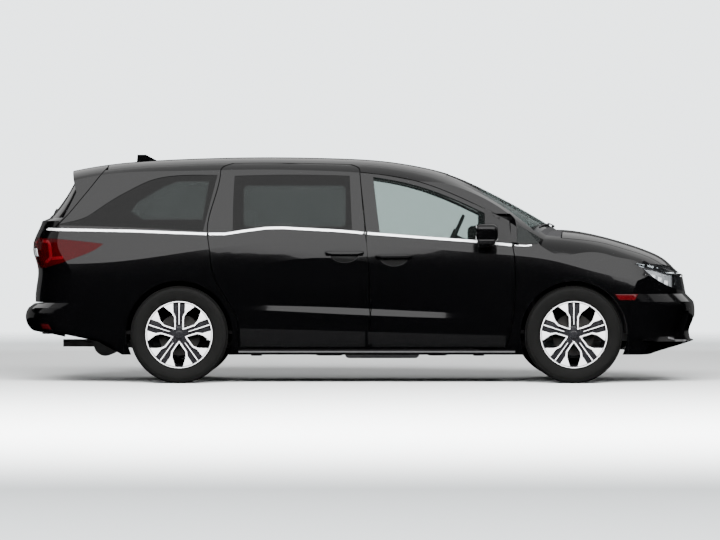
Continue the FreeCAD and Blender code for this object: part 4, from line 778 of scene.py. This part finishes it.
# sections that are spun: across the wheel in metres, and out from the axle as a share of the rim's radius
BARREL_OUTLINE = [(-0.104, 1.000), (-0.104, 0.975), (-0.098, 0.955), (-0.060, 0.935), (0.085, 0.890), (0.100, 0.900),
                  (0.100, 1.000), (0.085, 0.965), (0.040, 0.930), (-0.060, 0.950), (-0.090, 0.985)]
CAP_OUTLINE = [(-0.090, 0.0), (-0.091, 0.09), (-0.088, 0.118), (-0.080, 0.125), (-0.060, 0.125), (-0.060, 0.0)]
HUB_OUTLINE = [(-0.078, 0.0), (-0.078, 0.20), (-0.074, 0.25), (-0.060, 0.265), (-0.020, 0.28), (-0.020, 0.0)]
DISC_OUTLINE = [(-0.024, 0.22), (-0.024, 0.625), (-0.020, 0.63), (-0.004, 0.63), (0.0, 0.625), (0.0, 0.22)]
# the outer face of the spokes, and a place that no face lies beyond
FACE_Y = -0.098
NOWHERE = -1


class VAN_OT_wheels(bpy.types.Operator):
    """Model the four alloy wheels with their spokes, nuts and brake discs"""
    bl_idname = "van.wheels"
    bl_label = "Wheels"

    def two_tone(self, piece, face_y):
        """Machined metal on the faces that look outwards beyond face_y, black on the rest."""
        piece.data.materials.append(finish_of("wheel_black"))
        piece.data.materials.append(finish_of("machined_alloy"))
        for face in piece.data.polygons:
            face.material_index = 1 if face.normal.y < -0.85 and face.center.y < face_y else 0
        return piece

    def spoke(self, name, outline, depth, bevel, back, face_y, side=1):
        piece = plate(name, [(side * b * RIM_R, a * RIM_R) for a, b in outline], depth, bevel)
        piece.data.transform(Matrix.Translation((0, FACE_Y + back, 0)))
        return self.two_tone(piece, face_y)

    def execute(self, context):
        parts = [self.spoke("blade", BLADE_OUTLINE, 0.034, 0.0022, 0, FACE_Y + 0.004, side) for side in (1, -1)]
        parts.append(self.spoke("rib", RIB_OUTLINE, 0.030, 0.0015, 0.004, FACE_Y + 0.008))
        parts.append(self.spoke("web", WEB_OUTLINE, 0.012, 0.001, 0.024, NOWHERE))
        deselect()
        bpy.ops.mesh.primitive_cylinder_add(vertices=6, radius=0.0095, depth=0.020, location=(0.0, -0.080, 0.057),
                                            rotation=(math.pi / 2, 0, 0))
        nut = named("nut")
        bpy.ops.object.transform_apply(location=True, rotation=True)
        shaped(nut, rounded(0.002))
        nut.data.transform(Matrix.Rotation(math.pi / 5, 4, "Y"))
        group = joined("group", parts + [self.two_tone(nut, -0.07)])
        turn = 2 * math.pi / sizes().spokes
        pieces = [group] + [copied(group, "group_copy", i * turn) for i in range(1, sizes().spokes)]
        for name, outline, steps, face_y in (("barrel", BARREL_OUTLINE, 96, -0.097), ("cap", CAP_OUTLINE, 48, NOWHERE),
                                             ("hub", HUB_OUTLINE, 60, NOWHERE)):
            pieces.append(self.two_tone(turned(name, outline, steps, RIM_R), face_y))
        wheel = joined("wheel", pieces)
        disc = turned("disc", DISC_OUTLINE, 72, RIM_R)
        disc.data.materials.append(finish_of("brake_steel"))
        for end, x in CORNERS:
            for side, sign in SIDES:
                body = f"wheel_{end}_{side}"
                for source, name, slot, replaces in ((wheel, "alloy", "wheel_alloy", (body,)),
                                                     (disc, "disc", "steel_dark", ())):
                    piece = copied(source, f"{name}_{end}_{side}", 0, (x, sign * WHEEL_Y, WHEEL_R), sign > 0)
                    finished(piece, None, body, replaces, 30)
        dropped(wheel, disc)
        return {"FINISHED"}


# each strip's name, body and share of the strip's width, and its line in the side view
BELTS = (
    ("quarter", "root", 1, [(-2.400, 1.174), (-2.323, 1.169), (-1.731, 1.157), (-1.171, 1.135)]),
    ("sliding", "root", 1, [(-1.155, 1.135), (-1.025, 1.135), (-0.904, 1.155), (-0.723, 1.179), (-0.601, 1.182),
                            (-0.42, 1.172), (-0.177, 1.159), (0.037, 1.141)]),
    ("front", "front_door_{side}", 1, [(0.052, 1.140), (0.247, 1.125), (0.498, 1.106), (0.864, 1.079), (1.065, 1.059),
                                       (1.148, 1.050)]),
    ("triangle", "root", 0.5, [(1.170, 1.049), (1.250, 1.044), (1.300, 1.050)]),
)


class VAN_OT_belt_strips(bpy.types.Operator):
    """Lay the bright strip along the belt line of both sides"""
    bl_idname = "van.belt_strips"
    bl_label = "Belt strips"

    def execute(self, context):
        for side, sign in SIDES:
            for name, body, share, path in BELTS:
                width = sizes().strip * share
                piece = banded(f"belt_strip_{name}_{side}", path, width, side, 48, thick=0.004)
                finished(piece, "bright_strip", body.format(side=side))
        return {"FINISHED"}


# each skirt's name and body, and its lower and upper lines in the side view
SKIRTS = (
    ("sliding", "root", [(-0.915, 0.278), (0.035, 0.278)], [(-0.915, 0.417), (0.035, 0.392)]),
    ("front", "front_door_{side}", [(0.056, 0.278), (1.100, 0.278)], [(0.056, 0.391), (1.105, 0.363)]),
    ("sill", "root", [(-0.930, 0.222), (1.180, 0.222)], [(-0.930, 0.262), (1.180, 0.262)]),
)


class VAN_OT_side_skirts(bpy.types.Operator):
    """Add the lower cladding of the doors and the bright line along the sill"""
    bl_idname = "van.side_skirts"
    bl_label = "Side skirts"

    def execute(self, context):
        for side, sign in SIDES:
            for name, body, low, high in SKIRTS:
                piece = draped(f"skirt_{name}_{side}", low, high, side, (30, 4), thick=0.004, bevel=0.0012)
                finished(piece, "gloss_trim", body.format(side=side))
            piece = banded(f"sill_strip_{side}", [(-0.930, 0.243), (1.175, 0.243)], 0.011, side, 40, thick=0.004,
                           lift=0.0045)
            finished(piece, "satin_trim", "root")
        return {"FINISHED"}


# each handle's name and body, its two ends and its height
HANDLES = (("sliding", "root", -0.272, 0.024, 0.982), ("front", "front_door_{side}", 0.110, 0.396, 0.955))
# half the length of a finger cup, and its depth below the handle
CUP_HALF = 0.105
CUP_DROP = 0.062


class VAN_OT_handles(bpy.types.Operator):
    """Model the four outer door handles, each finger cup a flat dark patch of painted shade on the skin"""
    bl_idname = "van.handles"
    bl_label = "Door handles"

    def execute(self, context):
        for side, sign in SIDES:
            for name, body, x0, x1, z in HANDLES:
                body = body.format(side=side)
                middle = (x0 + x1) / 2
                turns = [t * math.pi / 16 for t in range(17)]
                cup = [(middle + CUP_HALF * math.cos(t), z - 0.004 - CUP_DROP * math.sin(t)) for t in turns]
                line = [(middle + CUP_HALF - 2 * CUP_HALF * t / 16, z - 0.003) for t in range(17)]
                # the finger cup is no recess but a flat dark patch on the skin: painted shade
                piece = draped(f"handle_cup_{name}_{side}", cup, line, side, (24, 8), thick=0.0015, lift=0.0006,
                               bevel=0)
                finished(piece, "cup_black", body)
                piece = banded(f"handle_ring_{name}_{side}", cup, 0.006, side, 32, lift=0.0006)
                finished(piece, "gloss_trim", body)
                foot_line = [(x0, z + 0.004), (x0 + 0.05, z - 0.012), (x1 - 0.05, z - 0.012), (x1, z + 0.004)]
                head_line = [(x0, z + 0.014), (x0 + 0.02, z + 0.020), (x1 - 0.02, z + 0.020), (x1, z + 0.014)]
                bar = draped(f"handle_{name}_{side}", foot_line, head_line, side, (24, 3), thick=0.016, lift=0.012,
                             bevel=0)
                pick(bar, lambda place, normal: normal.y * sign > 0.6)
                bpy.ops.mesh.inset(thickness=0.006)
                bpy.ops.transform.translate(value=(0, sign * 0.006, 0))
                bpy.ops.object.mode_set(mode="OBJECT")
                for end in (x0 + 0.022, x1 - 0.022):
                    foot = rounded_block("foot", (end - 0.016, 0, z - 0.008), (end + 0.016, 0.03, z + 0.014), 0.004)
                    base = on_skin(end, z, side)
                    for point in foot.data.vertices:
                        point.co.y = base.y + sign * (point.co.y - 0.008)
                    outward(foot)
                    bar = joined(bar.name, [bar, foot])
                shaped(bar, rounded(0.0015))
                finished(bar, "body_paint", body)
        return {"FINISHED"}


class VAN_OT_mirrors(bpy.types.Operator):
    """Model the door mirrors: housing, glass, lower shell, foot and the trim beside them"""
    bl_idname = "van.mirrors"
    bl_label = "Door mirrors"

    def shape(self, place):
        """Leans the mirror's front face back at the top, at the bottom and at its outer end."""
        up = (place.z - 1.14) / 0.08
        ahead = max(0, (place.x - 0.96) / 0.09)
        place.x -= 0.018 * max(0, up) * ahead + 0.014 * max(0, -up) * ahead
        if abs(place.y) > 1.1:
            place.x -= 0.012 * ahead
            place.z -= 0.012 * max(0, up)
        return place

    def execute(self, context):
        for side, sign in SIDES:
            door = f"front_door_{side}"
            piece = rounded_block(f"mirror_housing_{side}", *sided(sign, (0.866, 0.992, 1.074), (1.068, 1.187, 1.219)),
                                  0.040, 5, self.shape)
            shaped(piece, ("SUBSURF", {"levels": 1, "render_levels": 1}))
            finished(piece, "body_paint", door, (f"mirror_{side}",), 60)
            piece = rounded_block(f"mirror_shell_{side}", *sided(sign, (0.880, 0.996, 1.054), (1.040, 1.183, 1.100)),
                                  0.018, 4, self.shape)
            finished(piece, "gloss_trim", door, angle=60)
            piece = rounded_block(f"mirror_glass_{side}", *sided(sign, (0.871, 1.010, 1.096), (0.877, 1.169, 1.198)),
                                  0.0025, 2)
            finished(piece, "mirror_silver", door)
            piece = draped(f"mirror_sail_{side}", [(0.945, 1.085), (1.135, 1.062)], [(0.945, 1.345), (1.135, 1.215)],
                           side, (10, 8))
            finished(piece, "gloss_trim", door)
            # the pillar beside the door's shut gap takes the door's form, stretched over the gap
            piece = draped(f"pillar_trim_{side}", [(1.100, 1.070), (1.125, 1.068)], [(1.100, 1.222), (1.125, 1.190)],
                           side, (4, 8))
            for point in piece.data.vertices:
                point.co.x = 1.141 + (point.co.x - 1.100) * 1.9
            finished(piece, "gloss_trim", "root")
            piece = rounded_block(f"mirror_foot_{side}", *sided(sign, (0.892, 0.930, 1.032), (1.004, 1.075, 1.070)),
                                  0.012, 4)
            finished(piece, "gloss_trim", door, angle=60)
        return {"FINISHED"}


# lines in the side view, in x and height: the headlamp's opening, the reflector inside it and the side marker
LAMP_FOOT = [(2.100, 0.892), (2.160, 0.838), (2.235, 0.786), (2.334, 0.726), (2.430, 0.703)]
LAMP_BROW = [(2.090, 0.920), (2.160, 0.914), (2.240, 0.900), (2.425, 0.842), (2.442, 0.815)]
BOWL_FOOT = [(2.144, 0.846), (2.212, 0.806), (2.311, 0.754), (2.385, 0.712)]
BOWL_BROW = [(2.146, 0.872), (2.235, 0.860), (2.300, 0.842), (2.388, 0.818)]
MARKER_FOOT = [(1.964, 0.633), (2.081, 0.634)]
MARKER_BROW = [(1.931, 0.677), (2.107, 0.677)]
# how far forward the headlamp's eyes lie, and the tail lamps' lines
PROJECTORS = (2.215, 2.268, 2.322)
TAIL_GUIDES = ([(-2.430, 1.082), (-2.378, 1.076), (-2.366, 1.030), (-2.360, 0.955), (-2.405, 0.918)],
               [(-2.352, 0.950), (-2.262, 0.958)])
# each rear lamp's name, its two ends and two heights, its finish, body and slot
REAR_LAMPS = (
    ("rear_reflector", (0.905, 0.840, 0.415, 0.448), "marker_red", "root", "lamp_red"),
    ("reversing_lamp", (0.670, 0.480, 0.968, 1.028), "lamp_glass", "tailgate", "lamp_clear"),
)


class VAN_OT_lamps(bpy.types.Operator):
    """Fit the headlamps, tail lamps, side markers, reflectors and the high brake lamp"""
    bl_idname = "van.lamps"
    bl_label = "Lamps"

    def headlamp(self, side):
        piece = draped(f"headlamp_housing_{side}", LAMP_FOOT, LAMP_BROW, side, (24, 8), thick=0.002, lift=-0.046,
                       bevel=0)
        finished(piece, "grained_plastic", "root")
        piece = draped(f"headlamp_reflector_{side}", BOWL_FOOT, BOWL_BROW, side, (30, 10), thick=0.002, lift=-0.012,
                       bevel=0, hollow=0.012)
        finished(piece, "reflector_silver", "root")
        eyes = []
        for x in PROJECTORS:
            foot = 0.797 - 0.46 * (x - PROJECTORS[0])
            eyes.append(draped("projector", [(x, foot + 0.006), (x + 0.032, foot - 0.008)],
                               [(x + 0.004, foot + 0.036), (x + 0.036, foot + 0.030)], side, (6, 6), thick=0.004,
                               lift=-0.009, bevel=0.0015, hollow=-0.006))
        finished(joined(f"headlamp_projector_{side}", eyes), "lamp_glass", "root")
        piece = banded(f"headlamp_bar_{side}", LAMP_FOOT, 0.011, side, 40, lift=-0.007)
        finished(piece, "light_bar", "root")
        piece = banded(f"headlamp_brow_{side}", LAMP_BROW, 0.010, side, 40, lift=-0.006)
        finished(piece, "gloss_trim", "root")

    def tail_lamp(self, side, sign):
        for number, path in enumerate(TAIL_GUIDES, 1):
            piece = banded(f"tail_guide_{number}_{side}", path, 0.024, side, 24, thick=0.002, lift=0.0006,
                           bevel=0.0008)
            finished(piece, "light_guide", "root")
        for name, corners, finish, body, slot in REAR_LAMPS:
            a, b, low, high = corners
            lines = level(sign * a, sign * b, low, high)
            piece = draped(f"{name}_{side}", *lines, "rear", (12, 4))
            finished(piece, finish, body)
        piece = banded(f"gate_guide_{side}", [(sign * 0.670, 1.076), (sign * 0.430, 1.076)], 0.018, "rear", 16,
                       thick=0.002, lift=0.0006, bevel=0.0008)
        finished(piece, "light_guide", "tailgate")

    def execute(self, context):
        for side, sign in SIDES:
            self.headlamp(side)
            piece = draped(f"side_marker_{side}", MARKER_FOOT, MARKER_BROW, side, (14, 5))
            finished(piece, "marker_red", "root")
            self.tail_lamp(side, sign)
        piece = banded("high_brake_lamp", [(-0.200, 1.578), (0.200, 1.578)], 0.016, "rear", 24)
        finished(piece, "light_guide", "tailgate")
        return {"FINISHED"}


# how far the nose bends back, and the heights of the slats and of the fog lamps' rungs
NOSE_BOW = 0.164
SLATS = (0.352, 0.388, 0.424, 0.460)
RUNGS = (0.395, 0.425, 0.455, 0.485)


class VAN_OT_nose(bpy.types.Operator):
    """Add the lower grille's slats, the grille's bright line and the corner intakes' trim"""
    bl_idname = "van.nose"
    bl_label = "Nose details"

    def execute(self, context):
        slats = [bowed("slat", (2.478, -0.440, z - 0.005), (2.500, 0.440, z + 0.005), NOSE_BOW, 0.002) for z in SLATS]
        finished(joined("lower_grille_slats", slats), "grained_plastic", "root")
        path = [(-0.530, 0.812), (0.0, 0.820), (0.530, 0.812)]
        piece = banded("grille_line", path, 0.010, "front", 60, thick=0.004)
        finished(piece, "bright_strip", "root")
        for side, sign in SIDES:
            path = [(sign * 0.845, 0.345), (sign * 0.770, 0.322), (sign * 0.640, 0.318)]
            piece = banded(f"intake_trim_{side}", path, 0.016, "front", 24, thick=0.004)
            finished(piece, "satin_trim", "root")
            rungs = [draped("rung", *level(sign * 0.796, sign * 0.772, z, z + 0.012), "front", (6, 2), thick=0.006,
                            lift=0.002, bevel=0.002) for z in RUNGS]
            finished(joined(f"fog_lamp_{side}", rungs), "satin_trim", "root")
        return {"FINISHED"}


# each piece's name, its line seen from the rear, its width, columns and lift
REAR_WIPER = (
    ("rear_wiper_arm", [(0.0, 1.296), (-0.150, 1.322)], 0.016, 12, 0.008),
    ("rear_wiper_blade", [(0.030, 1.318), (-0.300, 1.326)], 0.010, 20, 0.0005),
)


class VAN_OT_tail(bpy.types.Operator):
    """Add the rear wiper, the tailgate's handle cup as a flat dark patch of painted shade, and the bare panel below it
    """
    bl_idname = "van.tail"
    bl_label = "Tail details"

    def execute(self, context):
        for name, path, width, columns, lift in REAR_WIPER:
            piece = banded(name, path, width, "rear", columns, thick=0.010, lift=lift, bevel=0.002)
            finished(piece, "grained_plastic", "tailgate")
        # the handle cup is no recess but a flat dark patch on the skin: painted shade
        piece = draped("tailgate_handle_cup", *level(-0.130, 0.130, 0.800, 0.828), "rear", (20, 4), thick=0.002,
                       lift=0.0006)
        finished(piece, "cup_black", "tailgate")
        piece = draped("tailgate_panel", *level(-0.260, 0.260, 0.645, 0.775), "rear", (20, 8), lift=0.0006,
                       bevel=0.0015)
        finished(piece, "grained_plastic", "tailgate")
        return {"FINISHED"}


# the middles of the dashboard's vents across the van
VENTS = (-0.560, -0.080, 0.080, 0.620)
# each seat's name, node, foremost x, middle y, half width and cushion length
SEATS = (
    ("front_right", "front_seats", 0.045, -0.384, 0.25, 0.50),
    ("front_left", "front_seats", 0.045, 0.384, 0.25, 0.50),
    ("second_right", "second_seats", -0.855, -0.384, 0.25, 0.50),
    ("second_left", "second_seats", -0.855, 0.384, 0.25, 0.50),
    ("third_right", "third_seat", -1.748, -0.299, 0.285, 0.45),
    ("third_left", "third_seat", -1.748, 0.299, 0.285, 0.45),
)
# each wiper's pivot, the arm's end and the blade's line, in x and y
WIPERS = (
    ("right", (1.505, -0.030), (1.448, -0.330), [(1.468, -0.020), (1.462, -0.200), (1.448, -0.330), (1.420, -0.500),
                                                 (1.372, -0.690)]),
    ("left", (1.440, 0.640), (1.448, 0.330), [(1.395, 0.620), (1.425, 0.480), (1.448, 0.330), (1.465, 0.150),
                                              (1.470, 0.020)]),
)
# the section of a wiper's pivot cap: along its axis and out from it
PIVOT_OUTLINE = [(0.0, 0.0), (0.0, 0.010), (-0.014, 0.013), (-0.018, 0.009), (-0.019, 0.0)]


class VAN_OT_cabin(bpy.types.Operator):
    """Fit the door cards, the screens and vents, the console and the inside mirror"""
    bl_idname = "van.cabin"
    bl_label = "Cabin"

    def execute(self, context):
        for side, sign in SIDES:
            body = f"front_door_{side}"
            door = skin_tree((body,))
            seen_from = "left" if side == "right" else "right"
            piece = draped(f"door_card_{side}", [(0.120, 0.420), (0.960, 0.420)], [(0.120, 0.980), (0.960, 0.960)],
                           seen_from, (24, 16), thick=0.008, lift=0.0006, bevel=0.003, hollow=-0.012, tree=door)
            finished(piece, "grained_plastic", body)
            inner = on_skin(0.5, 0.72, seen_from, 0.0, door)
            near, far = sorted((inner.y, inner.y - sign * 0.055))
            piece = rounded_block(f"door_armrest_{side}", (0.260, near, 0.690), (0.700, far, 0.750), 0.016, 4)
            finished(piece, "seat_leather", body, angle=60)
        face = on_skin(0.0, 1.000, "rear", 0.0, skin_tree(("dashboard",))).x
        screen = rounded_block("centre_screen", (face - 0.012, -0.145, 0.975), (face + 0.004, 0.145, 1.130), 0.005)
        vents = [rounded_block("vent", (face - 0.008, y - 0.062, 0.900), (face + 0.010, y + 0.062, 0.952), 0.008)
                 for y in VENTS]
        finished(joined("dash_vents", vents), "gloss_trim", "root")
        finished(screen, "screen_black", "root")
        piece = rounded_block("console", (0.080, -0.110, SEAT_FLOOR + 0.001), (0.640, 0.110, 0.640), 0.030, 4)
        finished(piece, "seat_leather", "root", angle=60)
        mirror = rounded_block("inside_mirror", (0.800, -0.125, 1.452), (0.826, 0.125, 1.512), 0.012, 4)
        post = rounded_block("mirror_post", (0.818, -0.012, 1.490), (0.850, 0.012, 1.545), 0.004, 2)
        finished(joined("inside_mirror", [mirror, post]), "screen_black", "root", angle=60)
        return {"FINISHED"}


class VAN_OT_wipers(bpy.types.Operator):
    """Model the two windshield wipers lying at the glass's foot"""
    bl_idname = "van.wipers"
    bl_label = "Wipers"

    def execute(self, context):
        for name, pivot, middle, blade_line in WIPERS:
            arm = banded(f"wiper_arm_{name}", [pivot, middle], 0.016, "top", 16, thick=0.007, lift=0.012, bevel=0.002)
            finished(arm, "grained_plastic", "root")
            blade = banded(f"wiper_blade_{name}", blade_line, 0.010, "top", 30, thick=0.010, lift=0.002, bevel=0.002)
            finished(blade, "grained_plastic", "root")
            cap = turned(f"wiper_pivot_{name}", PIVOT_OUTLINE, 24)
            cap.data.transform(Matrix.Translation(on_skin(*pivot, "top")) @ Matrix.Rotation(-math.pi / 2, 4, "X"))
            finished(cap, "grained_plastic", "root")
        return {"FINISHED"}


# a cushion's form, in shares of its half width: where the bolsters begin, how wide the step up to them and the
# channel beside them are, how much of the crown the channel takes away, and how far the edges are pulled in
BOLSTER_FROM = 0.62
BOLSTER_STEP = 0.2
CHANNEL_HALF = 0.12
CHANNEL_SHARE = 0.35
EDGE_PULL = 0.04


class VAN_OT_seats(bpy.types.Operator):
    """Model the padded seats of all three rows"""
    bl_idname = "van.seats"
    bl_label = "Seats"

    def cushion(self, name, low, high, crown, axis, bolster):
        """A padded block: crowned on the side it is sat on, with side bolsters and pulled-in edges."""
        piece = block(name, low, high, 7)
        middle = [(a + b) / 2 for a, b in zip(low, high)]
        half = [(b - a) / 2 for a, b in zip(low, high)]
        for point in piece.data.vertices:
            place = [(point.co[i] - middle[i]) / half[i] for i in range(3)]
            others = [i for i in range(3) if i != axis]
            fall = math.prod(max(0, 1 - abs(place[i]) ** 4) for i in others)
            aside = abs(place[1]) - BOLSTER_FROM
            channel = CHANNEL_SHARE if abs(aside) < CHANNEL_HALF and place[axis] > 0.9 else 0
            raised = bolster * max(0, min(1, aside / BOLSTER_STEP)) if place[axis] > 0.5 else 0
            point.co[axis] += place[axis] * crown * fall * (1 - channel) + raised * fall ** 0.5
            for i in others:
                pull = 1 - EDGE_PULL * abs(place[i]) * place[axis] ** 2
                point.co[i] = middle[i] + (point.co[i] - middle[i]) * pull
        return shaped(piece, ("SUBSURF", {"levels": 2, "render_levels": 2}))

    def execute(self, context):
        for name, node, x, y, half, length in SEATS:
            near, far = y - half + 0.012, y + half - 0.012
            seat = self.cushion(f"seat_{name}_cushion", (x + 0.05, near, 0.475), (x + length - 0.01, far, 0.605),
                                0.016, 2, 0.018)
            finished(seat, "seat_leather", "root", (node,), 180)
            back = self.cushion(f"seat_{name}_back", (-0.052, near, 0.54), (0.052, far, SEAT_BACK_TOP - 0.01), 0.014, 0,
                                0.020)
            back.data.transform(Matrix.Translation((x + 0.062, 0, 0.5)) @ Matrix.Rotation(math.radians(-6.5), 4, "Y")
                                @ Matrix.Translation((0, 0, -0.5)))
            finished(back, "seat_leather", "root", angle=180)
            head = self.cushion(f"seat_{name}_headrest", (x - 0.062, y - 0.118, SEAT_BACK_TOP + 0.020),
                                (x + 0.034, y + 0.118, SEAT_BACK_TOP + 0.146), 0.010, 0, 0.0)
            finished(head, "seat_leather", "root", angle=180)
            base = [rounded_block("base", (x + 0.13, y - half * 0.7, SEAT_FLOOR),
                                  (x + length - 0.13, y + half * 0.7, 0.480), 0.012)]
            base += [rounded_block("post", (x - 0.020, y + d - 0.006, SEAT_BACK_TOP - 0.03),
                                   (x - 0.008, y + d + 0.006, SEAT_BACK_TOP + 0.05), 0.003) for d in (-0.05, 0.05)]
            finished(joined(f"seat_{name}_base", base), "grained_plastic", "root")
        return {"FINISHED"}


BACKGROUND = (0.93, 0.98, 1.0, 1)
BACKGROUND_STRENGTH = 3.2
FLOOR_RADIUS = 30.0
# each light's place, aim, width, depth and glow, and whether it shows as a reflection or lights matt surfaces
LIGHTS = (
    ("top", (0, 0, 9.0), (0, 0, 0), 15.0, 10.0, 0.45, "reflections"),
    ("near", (0, -8.25, 6.6), (0, -4.26, 1.2), 20.0, 8.08, 1.35, "reflections"),
    ("far", (0, 8.25, 6.6), (0, 4.26, 1.2), 20.0, 8.08, 0.6, "reflections"),
    ("nose", (11.5, 0, 6.6), (4.3, 0, 1.2), 9.0, 8.0, 0.4, "reflections"),
    ("tail", (-11.5, 0, 6.6), (-4.3, 0, 1.2), 9.0, 8.0, 0.25, "reflections"),
    ("horizon", (0, 12.5, 2.0), (0, 0, 2.0), 40.0, 4.4, 0.09, "reflections"),
    ("fill", (0, 0, 10.0), (0, 0, 0), 16.0, 12.0, 0.4, "matt"),
    ("front_fill", (0, -12.0, 6.5), (0, 0, 0.6), 14.0, 5.0, 50.0, "matt"),
    ("back_fill", (0, 12.0, 5.0), (0, 0, 0.6), 12.0, 4.0, 4.0, "matt"),
)
CAMERA_PLACE = (-0.005, -32.0, 0.950)
CAMERA_SETTINGS = {"sensor_width": 36.0, "lens": 204.3, "shift_y": -0.0161, "clip_end": 200.0}


class VAN_OT_stage(bpy.types.Operator):
    """Set the floor, the lights and the camera"""
    bl_idname = "van.stage"
    bl_label = "Stage"

    def execute(self, context):
        deselect()
        bpy.ops.mesh.primitive_circle_add(vertices=96, radius=FLOOR_RADIUS, fill_type="NGON", location=(0, 0, -0.0005))
        floor = named("studio_floor")
        floor.data.materials.append(finish_of("studio_floor"))
        floor.visible_glossy = False
        world = context.scene.world or bpy.data.worlds.new("studio")
        context.scene.world = world
        world.use_nodes = True
        background = world.node_tree.nodes["Background"]
        background.inputs[0].default_value = BACKGROUND
        background.inputs[1].default_value = BACKGROUND_STRENGTH
        world.cycles_visibility.glossy = False
        world.cycles_visibility.diffuse = False
        for name, place, aim, wide, deep, glow, seen in LIGHTS:
            bpy.ops.object.light_add(type="AREA", location=place)
            lamp = named("light_" + name)
            lamp.rotation_euler = (Vector(aim) - Vector(place)).to_track_quat("-Z", "Y").to_euler()
            lamp.visible_camera = False
            lamp.visible_glossy = seen == "reflections"
            lamp.visible_diffuse = seen == "matt"
            lamp.data.shape = "RECTANGLE"
            lamp.data.size = wide
            lamp.data.size_y = deep
            lamp.data.energy = glow * math.pi * wide * deep
        bpy.ops.object.camera_add(location=CAMERA_PLACE, rotation=(math.pi / 2, 0, 0))
        camera = named("camera")
        for key, value in CAMERA_SETTINGS.items():
            setattr(camera.data, key, value)
        context.scene.camera = camera
        return {"FINISHED"}


class VAN_PT_panel(bpy.types.Panel):
    """The van's sizes, colours and pieces"""
    bl_label = "Minivan"
    bl_idname = "VAN_PT_panel"
    bl_space_type = "VIEW_3D"
    bl_region_type = "UI"
    bl_category = "Minivan"

    def draw(self, context):
        for group in (context.scene.van_paint, context.scene.van_sizes):
            box = self.layout.box()
            for key in group.__annotations__:
                box.prop(group, key)
        for operator in OPERATORS:
            self.layout.operator(operator.bl_idname)


OPERATORS = (VAN_OT_finishes, VAN_OT_tyres, VAN_OT_wheels, VAN_OT_belt_strips, VAN_OT_side_skirts, VAN_OT_handles,
             VAN_OT_mirrors, VAN_OT_lamps, VAN_OT_nose, VAN_OT_tail, VAN_OT_wipers, VAN_OT_seats, VAN_OT_cabin,
             VAN_OT_stage)
CLASSES = (VanPaint, VanSizes) + OPERATORS + (VAN_PT_panel,)


def register():
    for cls in CLASSES:
        bpy.utils.register_class(cls)
    bpy.types.Scene.van_paint = bpy.props.PointerProperty(type=VanPaint)
    bpy.types.Scene.van_sizes = bpy.props.PointerProperty(type=VanSizes)


def unregister():
    del bpy.types.Scene.van_sizes
    del bpy.types.Scene.van_paint
    for cls in reversed(CLASSES):
        bpy.utils.unregister_class(cls)


def main():
    register()
    for operator in OPERATORS:
        group, name = operator.bl_idname.split(".")
        getattr(getattr(bpy.ops, group), name)()
    bpy.context.view_layer.update()


if __name__ == "__main__":
    main()
